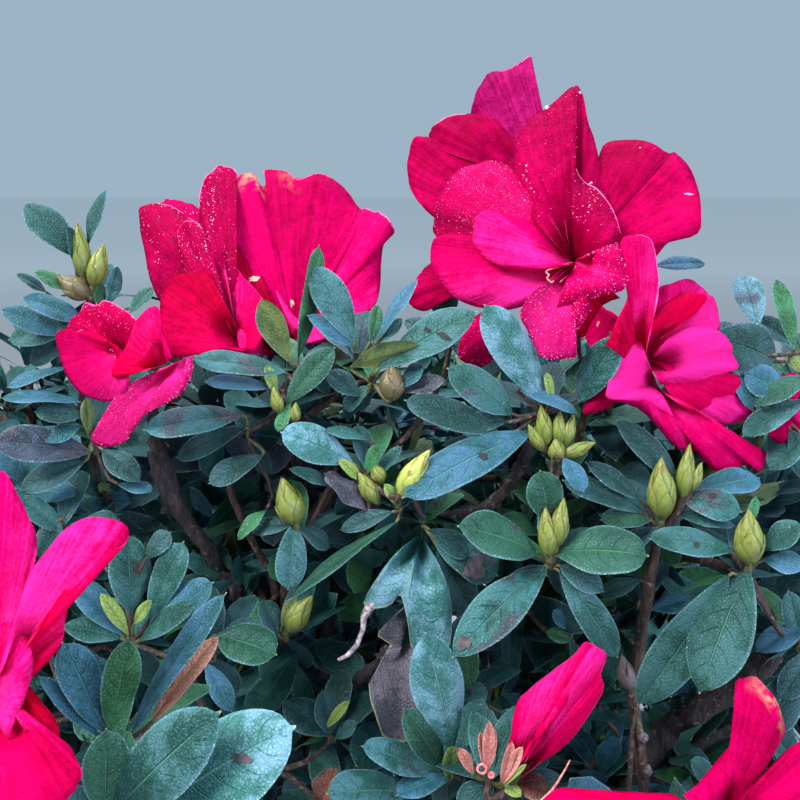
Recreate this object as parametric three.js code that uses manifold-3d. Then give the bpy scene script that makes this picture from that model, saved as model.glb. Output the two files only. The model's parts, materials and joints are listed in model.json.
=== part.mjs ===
// Azalea shrub in bloom, rooted in level ground.
// Millimetres, +Z up. The origin is the middle of the flat cut under the trunk,
// and the side with most blooms faces -Y.

import * as THREE from 'three';
import { mergeVertices } from 'three/addons/utils/BufferGeometryUtils.js';
import Module from 'manifold-3d';

const wasm = await Module();
wasm.setup();

// Gap kept between pieces that touch, and the distance at which vertices count as one
const clearance = 0.35;
const weldDistance = 0.001;

// Trunk: short and stout, flared over the roots, swelling again below the fork
const trunk = {
  height: 66,
  footRadius: 20,
  waistRadius: 13,
  forkRadius: 18,
  flareHeight: 16,
  forkHeight: 22,
  rootLobes: 4,
  lobeDepth: 0.16,
  lean: [5, -3],
  sides: 12,
  steps: 6,
};

// Limbs: each leaves its parent at a share of the parent's length and aims at one mass of leaves.
// "bow" is how far its middle is drawn in and up, so that it rises before it spreads.
const limbSides = 6;
const limbSteps = 6;
const forkSpread = 10;
const limbs = [
  { name: 'stem_middle', from: 'trunk', share: 1, aim: 'leaves_top_right', root: 7, tip: 4, bow: 6 },
  { name: 'stem_front_left', from: 'trunk', share: 1, aim: 'leaves_front_left', root: 7.5, tip: 4.2, bow: 20 },
  { name: 'stem_front_right', from: 'trunk', share: 0.96, aim: 'leaves_front_right', root: 7.5, tip: 4.2, bow: 26 },
  { name: 'stem_back_right', from: 'trunk', share: 1, aim: 'leaves_back_right', root: 8, tip: 4.2, bow: 28 },
  { name: 'stem_back_left', from: 'trunk', share: 0.96, aim: 'leaves_back_left', root: 8, tip: 4.2, bow: 28 },
  { name: 'bough_front', from: 'stem_front_left', share: 0.38, aim: 'leaves_front', root: 5, tip: 3.2, bow: 12 },
  { name: 'bough_fore', from: 'stem_front_left', share: 0.5, aim: 'leaves_fore', root: 4.8, tip: 3, bow: 8 },
  { name: 'bough_low_left', from: 'stem_front_left', share: 0.14, aim: 'leaves_low_left', root: 4.6, tip: 3, bow: 8 },
  { name: 'bough_right', from: 'stem_front_right', share: 0.4, aim: 'leaves_right', root: 5, tip: 3.2, bow: 14 },
  { name: 'bough_low_front', from: 'stem_front_right', share: 0.3, aim: 'leaves_low_front', root: 4.6, tip: 3, bow: 16 },
  { name: 'bough_low_right', from: 'stem_front_right', share: 0.14, aim: 'leaves_low_right', root: 4.6, tip: 3, bow: 8 },
  { name: 'bough_top_left', from: 'stem_middle', share: 0.35, aim: 'leaves_top_left', root: 5, tip: 3.2, bow: 8 },
  { name: 'bough_side_left', from: 'stem_back_left', share: 0.2, aim: 'leaves_side_left', root: 5, tip: 3.2, bow: 16 },
  { name: 'bough_side_right', from: 'stem_back_right', share: 0.2, aim: 'leaves_side_right', root: 5, tip: 3.2, bow: 16 },
  { name: 'bough_back', from: 'stem_back_left', share: 0.34, aim: 'leaves_back', root: 4.8, tip: 3.2, bow: 10 },
  { name: 'bough_low_back_left', from: 'stem_back_left', share: 0.12, aim: 'leaves_low_back_left', root: 4.6, tip: 3, bow: 6 },
  { name: 'bough_low_back_right', from: 'stem_back_right', share: 0.12, aim: 'leaves_low_back_right', root: 4.6, tip: 3, bow: 6 },
];

// Masses of leaves: middle, half sizes and a number that sets the unevenness.
// They ring an open, woody inside, and the top falls a little towards the back.
const lumpSides = 13;
const lumpRings = 8;
const lumpUnevenness = 0.06;
const lumpKnobs = 3.6;
const lumpPhases = [1, 2.1, 3.3];
const masses = [
  { name: 'leaves_front', at: [-34, -150, 336], half: [62, 60, 64], seed: 1.3 },
  { name: 'leaves_front_right', at: [62, -148, 332], half: [62, 58, 64], seed: 2.9 },
  { name: 'leaves_front_left', at: [-128, -112, 326], half: [74, 74, 70], seed: 4.1 },
  { name: 'leaves_right', at: [146, -88, 320], half: [76, 76, 68], seed: 5.7 },
  { name: 'leaves_fore', at: [-80, -220, 290], half: [56, 50, 54], seed: 6.4 },
  { name: 'leaves_low_front', at: [50, -206, 262], half: [64, 54, 52], seed: 7.7 },
  { name: 'leaves_top_left', at: [-60, -14, 324], half: [86, 80, 58], seed: 8.2 },
  { name: 'leaves_top_right', at: [76, -4, 322], half: [84, 82, 58], seed: 9.5 },
  { name: 'leaves_side_left', at: [-172, -6, 236], half: [66, 90, 84], seed: 10.6 },
  { name: 'leaves_side_right', at: [174, 8, 232], half: [66, 90, 84], seed: 11.9 },
  { name: 'leaves_low_left', at: [-128, -146, 182], half: [80, 66, 74], seed: 12.4 },
  { name: 'leaves_low_right', at: [132, -128, 188], half: [82, 66, 78], seed: 17.2 },
  { name: 'leaves_back_left', at: [-100, 102, 276], half: [84, 80, 72], seed: 13.8 },
  { name: 'leaves_back_right', at: [102, 106, 270], half: [84, 80, 72], seed: 14.5 },
  { name: 'leaves_back', at: [2, 142, 220], half: [80, 68, 88], seed: 15.2 },
  { name: 'leaves_low_back_left', at: [-116, 120, 166], half: [80, 68, 68], seed: 16.9 },
  { name: 'leaves_low_back_right', at: [118, 124, 162], half: [80, 68, 68], seed: 18.6 },
];

// Blooms: base of the tube, where the flower faces (degrees round from -Y towards +X, and upwards),
// radius over the petals and depth from base to rim. The stalk runs back from the base into the leaves.
const bloomSides = 15;
const petalCount = 5;
const petalNotch = 0.14;
const rimThickness = 7;
const stalkLength = 12;
const tubeShare = 0.1;
const throatShare = 0.42;
const throatDepth = 0.55;
const lipShare = 0.9;
const blooms = [
  { name: 'bloom_main', at: [54, -164, 408], turn: -22, rise: 34, radius: 47, depth: 34 },
  { name: 'bloom_right', at: [62, -162, 381], turn: 30, rise: 15, radius: 31, depth: 34 },
  { name: 'bloom_fan', at: [-27, -143, 394], turn: 4, rise: 45, radius: 41, depth: 36 },
  { name: 'bloom_left', at: [-49, -147, 394], turn: -30, rise: 45, radius: 31, depth: 34 },
  { name: 'bloom_drooping', at: [-54, -166, 386], turn: -50, rise: 5, radius: 28, depth: 30 },
  { name: 'bloom_fore', at: [-68, -252, 332], turn: -10, rise: 45, radius: 38, depth: 34 },
  { name: 'bloom_low', at: [62, -236, 294], turn: 14, rise: 30, radius: 38, depth: 34 },
  { name: 'bloom_top', at: [-52, 4, 372], turn: -170, rise: 58, radius: 36, depth: 24 },
  { name: 'bloom_side_right', at: [226, -30, 262], turn: 80, rise: 30, radius: 36, depth: 26 },
  { name: 'bloom_side_left', at: [-224, -36, 274], turn: -84, rise: 32, radius: 36, depth: 26 },
  { name: 'bloom_back_left', at: [-128, 146, 326], turn: -150, rise: 46, radius: 38, depth: 26 },
  { name: 'bloom_back_right', at: [122, 152, 318], turn: 156, rise: 44, radius: 37, depth: 26 },
  { name: 'bloom_back', at: [0, 202, 244], turn: 178, rise: 26, radius: 36, depth: 24 },
  { name: 'bloom_low_left', at: [-158, -196, 216], turn: -40, rise: 26, radius: 34, depth: 26 },
];

// The closed bud at the front: furled petals on a stalk. Its outline gives shares of radius and length.
const bud = { name: 'bud_furled', at: [20, -237, 289], turn: 83, rise: 61, radius: 6.5, length: 53, sides: 10 };
const budOutline = [[0, 0], [0.3, 0], [0.3, 0.26], [0.8, 0.38], [1, 0.56], [0.7, 0.8], [0, 1]];

// Colours of bark, leaf and petal
const bark = new THREE.MeshStandardMaterial({ color: 0x4a3a30, roughness: 0.92, metalness: 0 });
const leaf = new THREE.MeshStandardMaterial({ color: 0x2f5240, roughness: 0.5, metalness: 0 });
const petal = new THREE.MeshStandardMaterial({ color: 0xd3124e, roughness: 0.62, metalness: 0 });

// Closed geometry to solid and back
function toSolid(geometry) {
  geometry.deleteAttribute('normal');
  geometry.deleteAttribute('uv');
  const welded = mergeVertices(geometry, weldDistance);
  const vertProperties = new Float32Array(welded.attributes.position.array);
  const triVerts = new Uint32Array(welded.index.array);
  return new wasm.Manifold(new wasm.Mesh({ numProp: 3, vertProperties, triVerts }));
}

function toGeometry(solid) {
  const mesh = solid.getMesh();
  const geometry = new THREE.BufferGeometry();
  geometry.setAttribute('position', new THREE.BufferAttribute(mesh.vertProperties, mesh.numProp));
  geometry.setIndex(new THREE.BufferAttribute(mesh.triVerts, 1));
  geometry.computeVertexNormals();
  return geometry;
}

// Moves each vertex of a geometry to the place that "place" gives for it
function reshape(geometry, place) {
  const position = geometry.attributes.position;
  const vertex = new THREE.Vector3();
  for (let i = 0; i < position.count; i++) {
    vertex.fromBufferAttribute(position, i);
    const moved = place(vertex);
    position.setXYZ(i, moved.x, moved.y, moved.z);
  }
  return geometry;
}

// What is left of a solid when others are cut from it
function cutBack(solid, others) {
  return others.reduce((rest, other) => rest.subtract(other), solid);
}

// Of the parts that a cut leaves, the one whose box comes closest to a point
function partNearest(solid, point) {
  const distanceTo = (part) => {
    const box = part.boundingBox();
    const low = new THREE.Vector3(...box.min);
    const high = new THREE.Vector3(...box.max);
    return new THREE.Box3(low, high).distanceToPoint(point);
  };
  return solid.decompose().reduce((best, part) => (distanceTo(part) < distanceTo(best) ? part : best));
}

// Of the parts that a cut leaves, the biggest
function biggestPart(solid) {
  return solid.decompose().reduce((best, part) => (part.volume() > best.volume() ? part : best));
}

// The trunk: a round bar with a lobed flare at the foot and a swelling under the fork
function trunkSolid(grow = 0) {
  const height = trunk.height + grow;
  const geometry = new THREE.CylinderGeometry(1, 1, height, trunk.sides, trunk.steps);
  geometry.rotateX(Math.PI / 2);
  geometry.translate(0, 0, height / 2);
  return toSolid(reshape(geometry, ({ x, y, z }) => {
    const lobe = 1 + trunk.lobeDepth * Math.cos(trunk.rootLobes * Math.atan2(y, x));
    const flare = (trunk.footRadius - trunk.waistRadius) * Math.exp(-z / trunk.flareHeight) * lobe;
    const swell = (trunk.forkRadius - trunk.waistRadius) * Math.exp((z - trunk.height) / trunk.forkHeight);
    const radius = trunk.waistRadius + flare + swell + grow;
    const along = z / trunk.height;
    return new THREE.Vector3(x * radius + trunk.lean[0] * along, y * radius + trunk.lean[1] * along, z);
  }));
}

const trunkLine = new THREE.LineCurve3(
  new THREE.Vector3(0, 0, 0),
  new THREE.Vector3(...trunk.lean, trunk.height),
);

// The line of a limb: from its parent, bowed out and down, to the middle of its mass
function limbLine(limb, lines) {
  const target = new THREE.Vector3(...masses.find((mass) => mass.name === limb.aim).at);
  const start = lines[limb.from].getPointAt(limb.share);
  const outwards = new THREE.Vector3(target.x - start.x, target.y - start.y, 0).normalize();
  if (limb.from === 'trunk') {
    start.addScaledVector(outwards, forkSpread);
    start.z -= forkSpread;
  }
  const knee = start.clone().lerp(target, 0.5);
  knee.addScaledVector(outwards, -limb.bow);
  knee.z += limb.bow;
  return new THREE.QuadraticBezierCurve3(start, knee, target);
}

// A limb: a round bar laid along its line, tapering all the way
function limbSolid(limb, line, grow = 0) {
  const geometry = new THREE.CylinderGeometry(1, 1, 1, limbSides, limbSteps);
  const frames = line.computeFrenetFrames(limbSteps);
  return toSolid(reshape(geometry, ({ x, y, z }) => {
    const along = y + 0.5;
    const step = Math.round(along * limbSteps);
    const radius = THREE.MathUtils.lerp(limb.root, limb.tip, along) + grow;
    const place = line.getPointAt(along);
    place.addScaledVector(frames.binormals[step], x * radius);
    place.addScaledVector(frames.normals[step], z * radius);
    return place;
  }));
}

// A mass of leaves: a ball stretched to its half sizes and made uneven by a few waves
function massSolid({ at, half, seed }, grow = 0) {
  const geometry = new THREE.SphereGeometry(1, lumpSides, lumpRings);
  geometry.rotateX(Math.PI / 2);
  return toSolid(reshape(geometry, ({ x, y, z }) => {
    const waves = [x, y, z].map((value, axis) => Math.sin(lumpKnobs * value + seed * lumpPhases[axis]));
    const size = 1 + lumpUnevenness * (waves[0] + waves[1] + waves[2]);
    return new THREE.Vector3(
      at[0] + x * (half[0] * size + grow),
      at[1] + y * (half[1] * size + grow),
      at[2] + z * (half[2] * size + grow),
    );
  }));
}

// The direction of a flower or bud
function facing({ turn, rise }) {
  const around = THREE.MathUtils.degToRad(turn);
  const up = THREE.MathUtils.degToRad(rise);
  return new THREE.Vector3(
    Math.sin(around) * Math.cos(up),
    -Math.cos(around) * Math.cos(up),
    Math.sin(up),
  );
}

// Stands a turned shape, made along +Y, at a place and turns it the way the flower faces
function aimed(geometry, flower) {
  const up = new THREE.Vector3(0, 1, 0);
  geometry.applyQuaternion(new THREE.Quaternion().setFromUnitVectors(up, facing(flower)));
  geometry.translate(...flower.at);
  return toSolid(geometry);
}

// A bloom: a funnel with a hollow face and a rim of five lobes
function bloomSolid(bloom, grow = 0) {
  const { radius, depth } = bloom;
  const profile = [
    [0, -stalkLength - grow],
    [tubeShare * radius + grow, -stalkLength - grow],
    [throatShare * radius + grow, throatDepth * depth - grow],
    [radius + grow, depth - grow],
    [lipShare * radius + grow, depth + rimThickness + grow],
    [0, throatDepth * depth + grow],
  ].map(([across, along]) => new THREE.Vector2(across, along));
  const geometry = new THREE.LatheGeometry(profile, bloomSides);
  return aimed(reshape(geometry, ({ x, y, z }) => {
    const across = Math.hypot(x, z) / radius;
    const lobe = 1 - petalNotch * across * (1 - Math.cos(petalCount * Math.atan2(z, x))) / 2;
    return new THREE.Vector3(x * lobe, y, z * lobe);
  }), bloom);
}

// The furled bud: a spindle on its stalk
function budSolid() {
  const profile = budOutline.map(
    ([across, along]) => new THREE.Vector2(across * bud.radius, along * bud.length),
  );
  return aimed(new THREE.LatheGeometry(profile, bud.sides), bud);
}

// The shrub, piece by piece: each piece is cut back from what it rests on
const shrub = new THREE.Group();

function addPiece(name, solid, material) {
  const mesh = new THREE.Mesh(toGeometry(solid), material);
  mesh.name = name;
  shrub.add(mesh);
}

const grownMasses = masses.map((mass) => massSolid(mass, clearance));
masses.forEach((mass, index) => {
  const solid = cutBack(massSolid(mass), grownMasses.slice(0, index));
  addPiece(mass.name, biggestPart(solid), leaf);
});

addPiece('trunk', trunkSolid(), bark);
const lines = { trunk: trunkLine };
const grownWood = [trunkSolid(clearance)];
for (const limb of limbs) {
  const line = limbLine(limb, lines);
  lines[limb.name] = line;
  const solid = cutBack(limbSolid(limb, line), [...grownMasses, ...grownWood]);
  addPiece(limb.name, partNearest(solid, line.getPointAt(0)), bark);
  grownWood.push(limbSolid(limb, line, clearance));
}

const grownBlooms = [];
for (const bloom of blooms) {
  const solid = cutBack(bloomSolid(bloom), [...grownMasses, ...grownBlooms]);
  addPiece(bloom.name, biggestPart(solid), petal);
  grownBlooms.push(bloomSolid(bloom, clearance));
}
addPiece(bud.name, biggestPart(cutBack(budSolid(), [...grownMasses, ...grownBlooms])), petal);

export default shrub;
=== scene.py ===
# The looks of an azalea shrub in bloom: bark, twigs, leaves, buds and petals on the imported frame
import json
import math
import random
import bmesh
import bpy
import numpy as np
from mathutils import Matrix, Vector, noise
from mathutils.bvhtree import BVHTree

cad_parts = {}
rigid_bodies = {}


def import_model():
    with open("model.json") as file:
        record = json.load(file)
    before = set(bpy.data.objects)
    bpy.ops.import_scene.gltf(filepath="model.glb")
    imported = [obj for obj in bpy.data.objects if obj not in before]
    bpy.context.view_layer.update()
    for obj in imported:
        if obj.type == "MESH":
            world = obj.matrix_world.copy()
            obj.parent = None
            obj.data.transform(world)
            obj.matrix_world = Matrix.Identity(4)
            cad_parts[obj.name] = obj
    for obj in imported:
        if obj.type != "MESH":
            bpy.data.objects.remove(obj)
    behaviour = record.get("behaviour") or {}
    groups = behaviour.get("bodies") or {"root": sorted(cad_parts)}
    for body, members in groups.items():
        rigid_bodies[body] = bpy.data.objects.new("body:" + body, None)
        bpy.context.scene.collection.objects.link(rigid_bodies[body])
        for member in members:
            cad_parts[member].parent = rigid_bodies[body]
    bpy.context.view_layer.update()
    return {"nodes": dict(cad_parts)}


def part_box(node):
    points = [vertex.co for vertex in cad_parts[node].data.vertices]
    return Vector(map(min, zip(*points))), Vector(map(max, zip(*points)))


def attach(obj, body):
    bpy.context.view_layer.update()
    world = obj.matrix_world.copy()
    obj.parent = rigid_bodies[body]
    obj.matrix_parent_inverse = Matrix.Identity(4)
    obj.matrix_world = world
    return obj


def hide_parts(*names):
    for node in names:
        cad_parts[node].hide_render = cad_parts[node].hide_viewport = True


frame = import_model()
cadNodes = frame["nodes"]
mm = 0.001
goldenAngle = math.radians(137.508)
noiseSeed = 7
noise.seed_set(noiseSeed)  # noise vectors hang on it too, so it is set before the first of them


# Camera
cameraSetup = {
    "place": (0.0, -0.42, 0.44),
    "pitch": 14.0,  # degrees below level
    "lens": 38.96,
    "sensor": 36.0,
    "photoSide": 800,
}


def makeCamera(setup):
    data = bpy.data.cameras.new("camera")
    data.lens = setup["lens"]
    data.sensor_width = setup["sensor"]
    data.clip_start = 0.01
    camera = bpy.data.objects.new("camera", data)
    camera.location = setup["place"]
    camera.rotation_euler = (math.radians(90 - setup["pitch"]), 0, 0)
    bpy.context.scene.collection.objects.link(camera)
    bpy.context.scene.camera = camera
    return camera


makeCamera(cameraSetup)
eye = Vector(cameraSetup["place"])
pitch = math.radians(cameraSetup["pitch"])
ahead = Vector((0, math.cos(pitch), -math.sin(pitch)))
rightward = Vector((1, 0, 0))
upward = Vector((0, math.sin(pitch), math.cos(pitch)))
halfSide = cameraSetup["photoSide"] / 2
halfView = cameraSetup["sensor"] / 2 / cameraSetup["lens"]
worldUp = Vector((0, 0, 1))


def atPixel(pixel, depth):  # the point that a pixel of the photo shows, at a depth along the view
    x = (pixel[0] - halfSide) / halfSide * halfView
    y = (halfSide - pixel[1]) / halfSide * halfView
    return eye + (ahead + rightward * x + upward * y) * depth


def toPixel(point):
    offset = Vector(point) - eye
    depth = offset.dot(ahead)
    x = halfSide + halfSide * offset.dot(rightward) / depth / halfView
    y = halfSide - halfSide * offset.dot(upward) / depth / halfView
    return x, y, depth


def pixelSize(depth):  # metres that one pixel covers at that depth
    return depth * halfView / halfSide


print("camera stands")


# Shader expressions
def mathStep(operation, reflected=False):  # an operator of Signal
    def step(self, other=0.0):
        first, second = (other, self) if reflected else (self, other)
        return self.look.node("ShaderNodeMath", {"operation": operation}, {0: first, 1: second})
    return step


class Signal:
    __add__ = mathStep("ADD")
    __radd__ = mathStep("ADD", reflected=True)
    __sub__ = mathStep("SUBTRACT")
    __rsub__ = mathStep("SUBTRACT", reflected=True)
    __mul__ = mathStep("MULTIPLY")
    __rmul__ = mathStep("MULTIPLY", reflected=True)
    __pow__ = mathStep("POWER")
    __abs__ = mathStep("ABSOLUTE")
    fract = mathStep("FRACT")

    def __init__(self, look, socket):
        self.look = look
        self.socket = socket

    def fade(self, low, high):  # 0 below low, 1 above high, smooth between
        shape = {"interpolation_type": "SMOOTHSTEP"}
        return self.look.node("ShaderNodeMapRange", shape, {0: self, 1: low, 2: high, 3: 0.0, 4: 1.0})


class Finish:
    def __init__(self, name):
        self.material = bpy.data.materials.new(name)
        self.material.use_nodes = True
        self.tree = self.material.node_tree
        self.tree.nodes.clear()

    def node(self, kind, settings=None, inputs=None, out=0):
        made = self.tree.nodes.new(kind)
        for key, value in (settings or {}).items():
            setattr(made, key, value)
        for key, value in (inputs or {}).items():
            if isinstance(value, Signal):
                self.tree.links.new(value.socket, made.inputs[key])
            else:
                made.inputs[key].default_value = value
        return Signal(self, made.outputs[out]) if made.outputs else None

    def mix(self, share, first, second):
        return self.node("ShaderNodeMix", {"data_type": "RGBA"}, {0: share, 6: first, 7: second}, out=2)

    def place(self):
        return self.node("ShaderNodeTexCoord", out="Object")

    def mapped(self, uvName):  # the two coordinates of a piece's own map
        uv = self.node("ShaderNodeUVMap", {"uv_map": uvName})
        across = self.node("ShaderNodeSeparateXYZ", None, {0: uv}, out=0)
        along = self.node("ShaderNodeSeparateXYZ", None, {0: uv}, out=1)
        return across, along

    def stretched(self, vector, scale):
        return self.node("ShaderNodeMapping", None, {"Vector": vector, "Scale": scale})

    def grain(self, vector, scale, detail=3.0, roughness=0.5):
        inputs = {"Vector": vector, "Scale": scale, "Detail": detail, "Roughness": roughness}
        return self.node("ShaderNodeTexNoise", None, inputs)

    def bump(self, height, distance, strength=1.0):
        inputs = {"Height": height, "Distance": distance, "Strength": strength}
        return self.node("ShaderNodeBump", None, inputs)

    def paint(self, inputs):
        return self.node("ShaderNodeBsdfPrincipled", None, inputs)

    def finish(self, surface):
        self.node("ShaderNodeOutputMaterial", None, {"Surface": surface})
        return self.material


def colour(red, green, blue):
    return (red, green, blue, 1.0)


# Pieces
def newPiece(name, mesh, replaced=()):
    piece = bpy.data.objects.new(name, mesh)
    bpy.context.scene.collection.objects.link(piece)
    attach(piece, "root")
    if replaced:
        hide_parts(*replaced)
    return piece


def facesOf(verts):
    return {face for vert in verts for face in vert.link_faces}


def finished(mesh, materials):
    mesh.polygons.foreach_set("use_smooth", [True] * len(mesh.polygons))
    for material in materials:
        mesh.materials.append(material)
    return mesh


def meshOf(name, form, materials):
    mesh = bpy.data.meshes.new(name)
    form.to_mesh(mesh)
    form.free()
    return finished(mesh, materials)


def formPiece(name, form, materials, replaced=()):
    return newPiece(name, meshOf(name, form, materials), replaced)


def curveMesh(name, strands, bevelSides, materials=()):  # strands are lists of points with radii
    curve = bpy.data.curves.new(name, "CURVE")
    curve.dimensions = "3D"
    curve.bevel_depth = 1.0
    curve.bevel_resolution = (bevelSides - 4) // 2
    curve.use_fill_caps = True
    for points, radii in strands:
        spline = curve.splines.new("POLY")
        spline.points.add(len(points) - 1)
        for knot, point, radius in zip(spline.points, points, radii):
            knot.co = (*point, 1.0)
            knot.radius = radius
    carrier = bpy.data.objects.new(name, curve)
    bpy.context.scene.collection.objects.link(carrier)
    bpy.context.view_layer.update()
    mesh = bpy.data.meshes.new_from_object(carrier.evaluated_get(bpy.context.evaluated_depsgraph_get()))
    bpy.data.objects.remove(carrier)
    mesh.name = name
    return finished(mesh, materials)


def curvePiece(name, strands, bevelSides, material):
    return newPiece(name, curveMesh(name, strands, bevelSides, [material]))


def bentLine(start, startWay, end, endWay, steps):  # a smooth strand between two points and directions
    reach = (end - start).length * 0.38
    first = start + startWay * reach
    second = end - endWay * reach
    line = []
    for step in range(steps + 1):
        t = step / steps
        rest = 1 - t
        line.append(start * rest ** 3 + first * 3 * t * rest ** 2 + second * 3 * t * t * rest + end * t ** 3)
    return line


def splinePoints(points, count):  # even steps along a Catmull-Rom line through the points
    points = [np.array(p, float) for p in points]
    points = [2 * points[0] - points[1]] + points + [2 * points[-1] - points[-2]]
    spans = len(points) - 3
    line = []
    for step in range(count):
        place = step / (count - 1) * spans
        span = min(int(place), spans - 1)
        t = place - span
        a, b, c, d = points[span:span + 4]
        curved = (2 * a - 5 * b + 4 * c - d) * t * t + (3 * b - 3 * c + d - a) * t ** 3
        line.append(0.5 * (2 * b + (c - a) * t + curved))
    return line


def smoothLine(points, count):
    return [Vector(place) for place in splinePoints(points, count)]


# Bark
barkLook = {
    "old": {"crack": (0.012, 0.009, 0.012), "ridge": (0.040, 0.030, 0.037), "lichen": (0.15, 0.15, 0.14)},
    "young": {"crack": (0.022, 0.013, 0.014), "ridge": (0.098, 0.056, 0.046), "lichen": (0.26, 0.20, 0.17)},
    "voxel": 0.0013,
    "furrowDepth": 0.0009,
    "lumpDepth": 0.0009,
    "youngDepth": 0.00022,
    "flatFoot": 0.0015,  # the cut at ground level keeps its flat face up to here
}


def barkFinish(name, crack, ridge, lichen):
    look = Finish(name)
    place = look.place()
    furrow = look.grain(look.stretched(place, (1, 1, 0.22)), 900, 5, 0.65)
    patch = look.grain(place, 70, 3)
    fleck = look.grain(place, 620, 3).fade(0.58, 0.68) * patch.fade(0.36, 0.56)
    base = look.mix(furrow.fade(0.36, 0.66), colour(*crack), colour(*ridge))
    base = look.mix(fleck * 0.7, base, colour(*lichen))
    normal = look.bump(furrow + patch * 0.5, 0.0012, 1.0)
    roughness = 0.72 + furrow * 0.2
    return look.finish(look.paint({"Base Color": base, "Roughness": roughness, "Normal": normal}))


oldBark = barkFinish("bark", **barkLook["old"])
youngBark = barkFinish("youngBark", **barkLook["young"])

bearers = {}  # which limb carries each mass of leaves
for side in ("front", "front_right", "front_left", "right", "fore", "low_front", "top_left", "top_right",
             "side_left", "side_right", "low_left", "low_right", "back_left", "back_right", "back",
             "low_back_left", "low_back_right"):
    bearers["leaves_" + side] = "bough_" + side if "bough_" + side in cadNodes else "stem_" + side
bearers["leaves_top_right"] = "stem_middle"


def middleOf(node):
    return sum(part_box(node), Vector()) / 2


def limbEnd(mass):  # where the limb of a mass ends, and the way it points there
    middle = middleOf(mass)
    places = [vert.co.copy() for vert in cadNodes[bearers[mass]].data.vertices]
    places.sort(key=lambda p: (p - middle).length)
    end = sum(places[:6], Vector()) / 6
    before = [p for p in places if 0.03 < (p - end).length < 0.055] or places[-6:]
    way = (end - sum(before, Vector()) / len(before)).normalized()
    return end, way


# Stems that show between the leaves, by pixels of the photo: depth in metres, width in pixels
def stem(path, depth, width, to=None, young=False):
    return {"path": path, "depth": depth, "width": width, "to": to, "young": young}


frontStems = {
    "leftDark": stem([(150, 405), (160, 446), (168, 480), (190, 525), (222, 570), (246, 612), (262, 668)],
        [0.264, 0.262, 0.262, 0.268, 0.276, 0.285, 0.3], 14, "leaves_front"),
    "brokenStub": stem([(147, 447), (152, 470), (160, 497), (164, 517)], [0.258, 0.259, 0.262, 0.266], 6),
    "knotted": stem([(334, 488), (322, 508), (304, 542), (288, 590), (279, 650), (276, 712)],
        [0.258, 0.262, 0.268, 0.276, 0.286, 0.3], 14, "leaves_front", young=True),
    "level": stem([(531, 442), (512, 482), (486, 508), (448, 517), (400, 514), (345, 500)],
        [0.25, 0.256, 0.262, 0.266, 0.266, 0.262], 13),
    "thinBrown": stem([(228, 482), (238, 510), (254, 545), (272, 580), (280, 640)],
        [0.262, 0.264, 0.268, 0.274, 0.284], 7, young=True),
    "pinkish": stem([(656, 545), (650, 580), (645, 612), (637, 655), (632, 686), (640, 748), (648, 830)],
        [0.242, 0.244, 0.247, 0.251, 0.256, 0.262, 0.272], 10, "leaves_low_front", young=True),
    "thick": stem([(775, 652), (735, 688), (690, 715), (650, 752), (620, 815)],
        [0.262, 0.268, 0.274, 0.28, 0.29], 26, "leaves_front_right"),
    "second": stem([(760, 715), (715, 735), (672, 765), (645, 800)], [0.272, 0.276, 0.28, 0.286], 13),
    "third": stem([(752, 768), (715, 790), (690, 820)], [0.262, 0.268, 0.276], 15, "leaves_low_front"),
    "upright": stem([(488, 640), (488, 700), (484, 770), (480, 830)],
        [0.262, 0.264, 0.268, 0.274], 8, "leaves_front_right"),
    "crook": stem([(392, 650), (372, 668), (350, 685), (322, 700), (285, 706)],
        [0.262, 0.266, 0.272, 0.28, 0.29], 13),
    "thinRight": stem([(750, 572), (758, 592), (770, 615), (790, 640)],
        [0.242, 0.248, 0.256, 0.266], 7, young=True),
    "inner": stem([(330, 560), (325, 640), (318, 720), (300, 820)],
        [0.3, 0.306, 0.312, 0.32], 16, "leaves_front"),
    "farLeft": stem([(92, 300), (88, 345), (82, 410), (95, 470), (130, 540), (175, 610)],
        [0.268, 0.272, 0.272, 0.276, 0.284, 0.296], 8, "leaves_front_left"),
}


def stemStrand(row):
    places = [atPixel(pixel, depth) for pixel, depth in zip(row["path"], row["depth"])]
    thickness = row["width"] * pixelSize(row["depth"][0]) / 2
    radii = [thickness * (1 + 0.06 * step) for step in range(len(places))]
    if row["to"]:
        end, way = limbEnd(row["to"])
        tail = bentLine(places[-1], (places[-1] - places[-2]).normalized(), end - way * 0.006, -way, 5)
        places += tail[1:]
        radii += [radii[-1]] * 5
    count = len(places) * 5
    line = smoothLine(places, count)
    wander = [noise.noise_vector(p * 90) * thickness * 0.5 for p in line]
    widths = np.interp(np.linspace(0, 1, count), np.linspace(0, 1, len(radii)), radii)
    return [p + w for p, w in zip(line, wander)], widths


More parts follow.
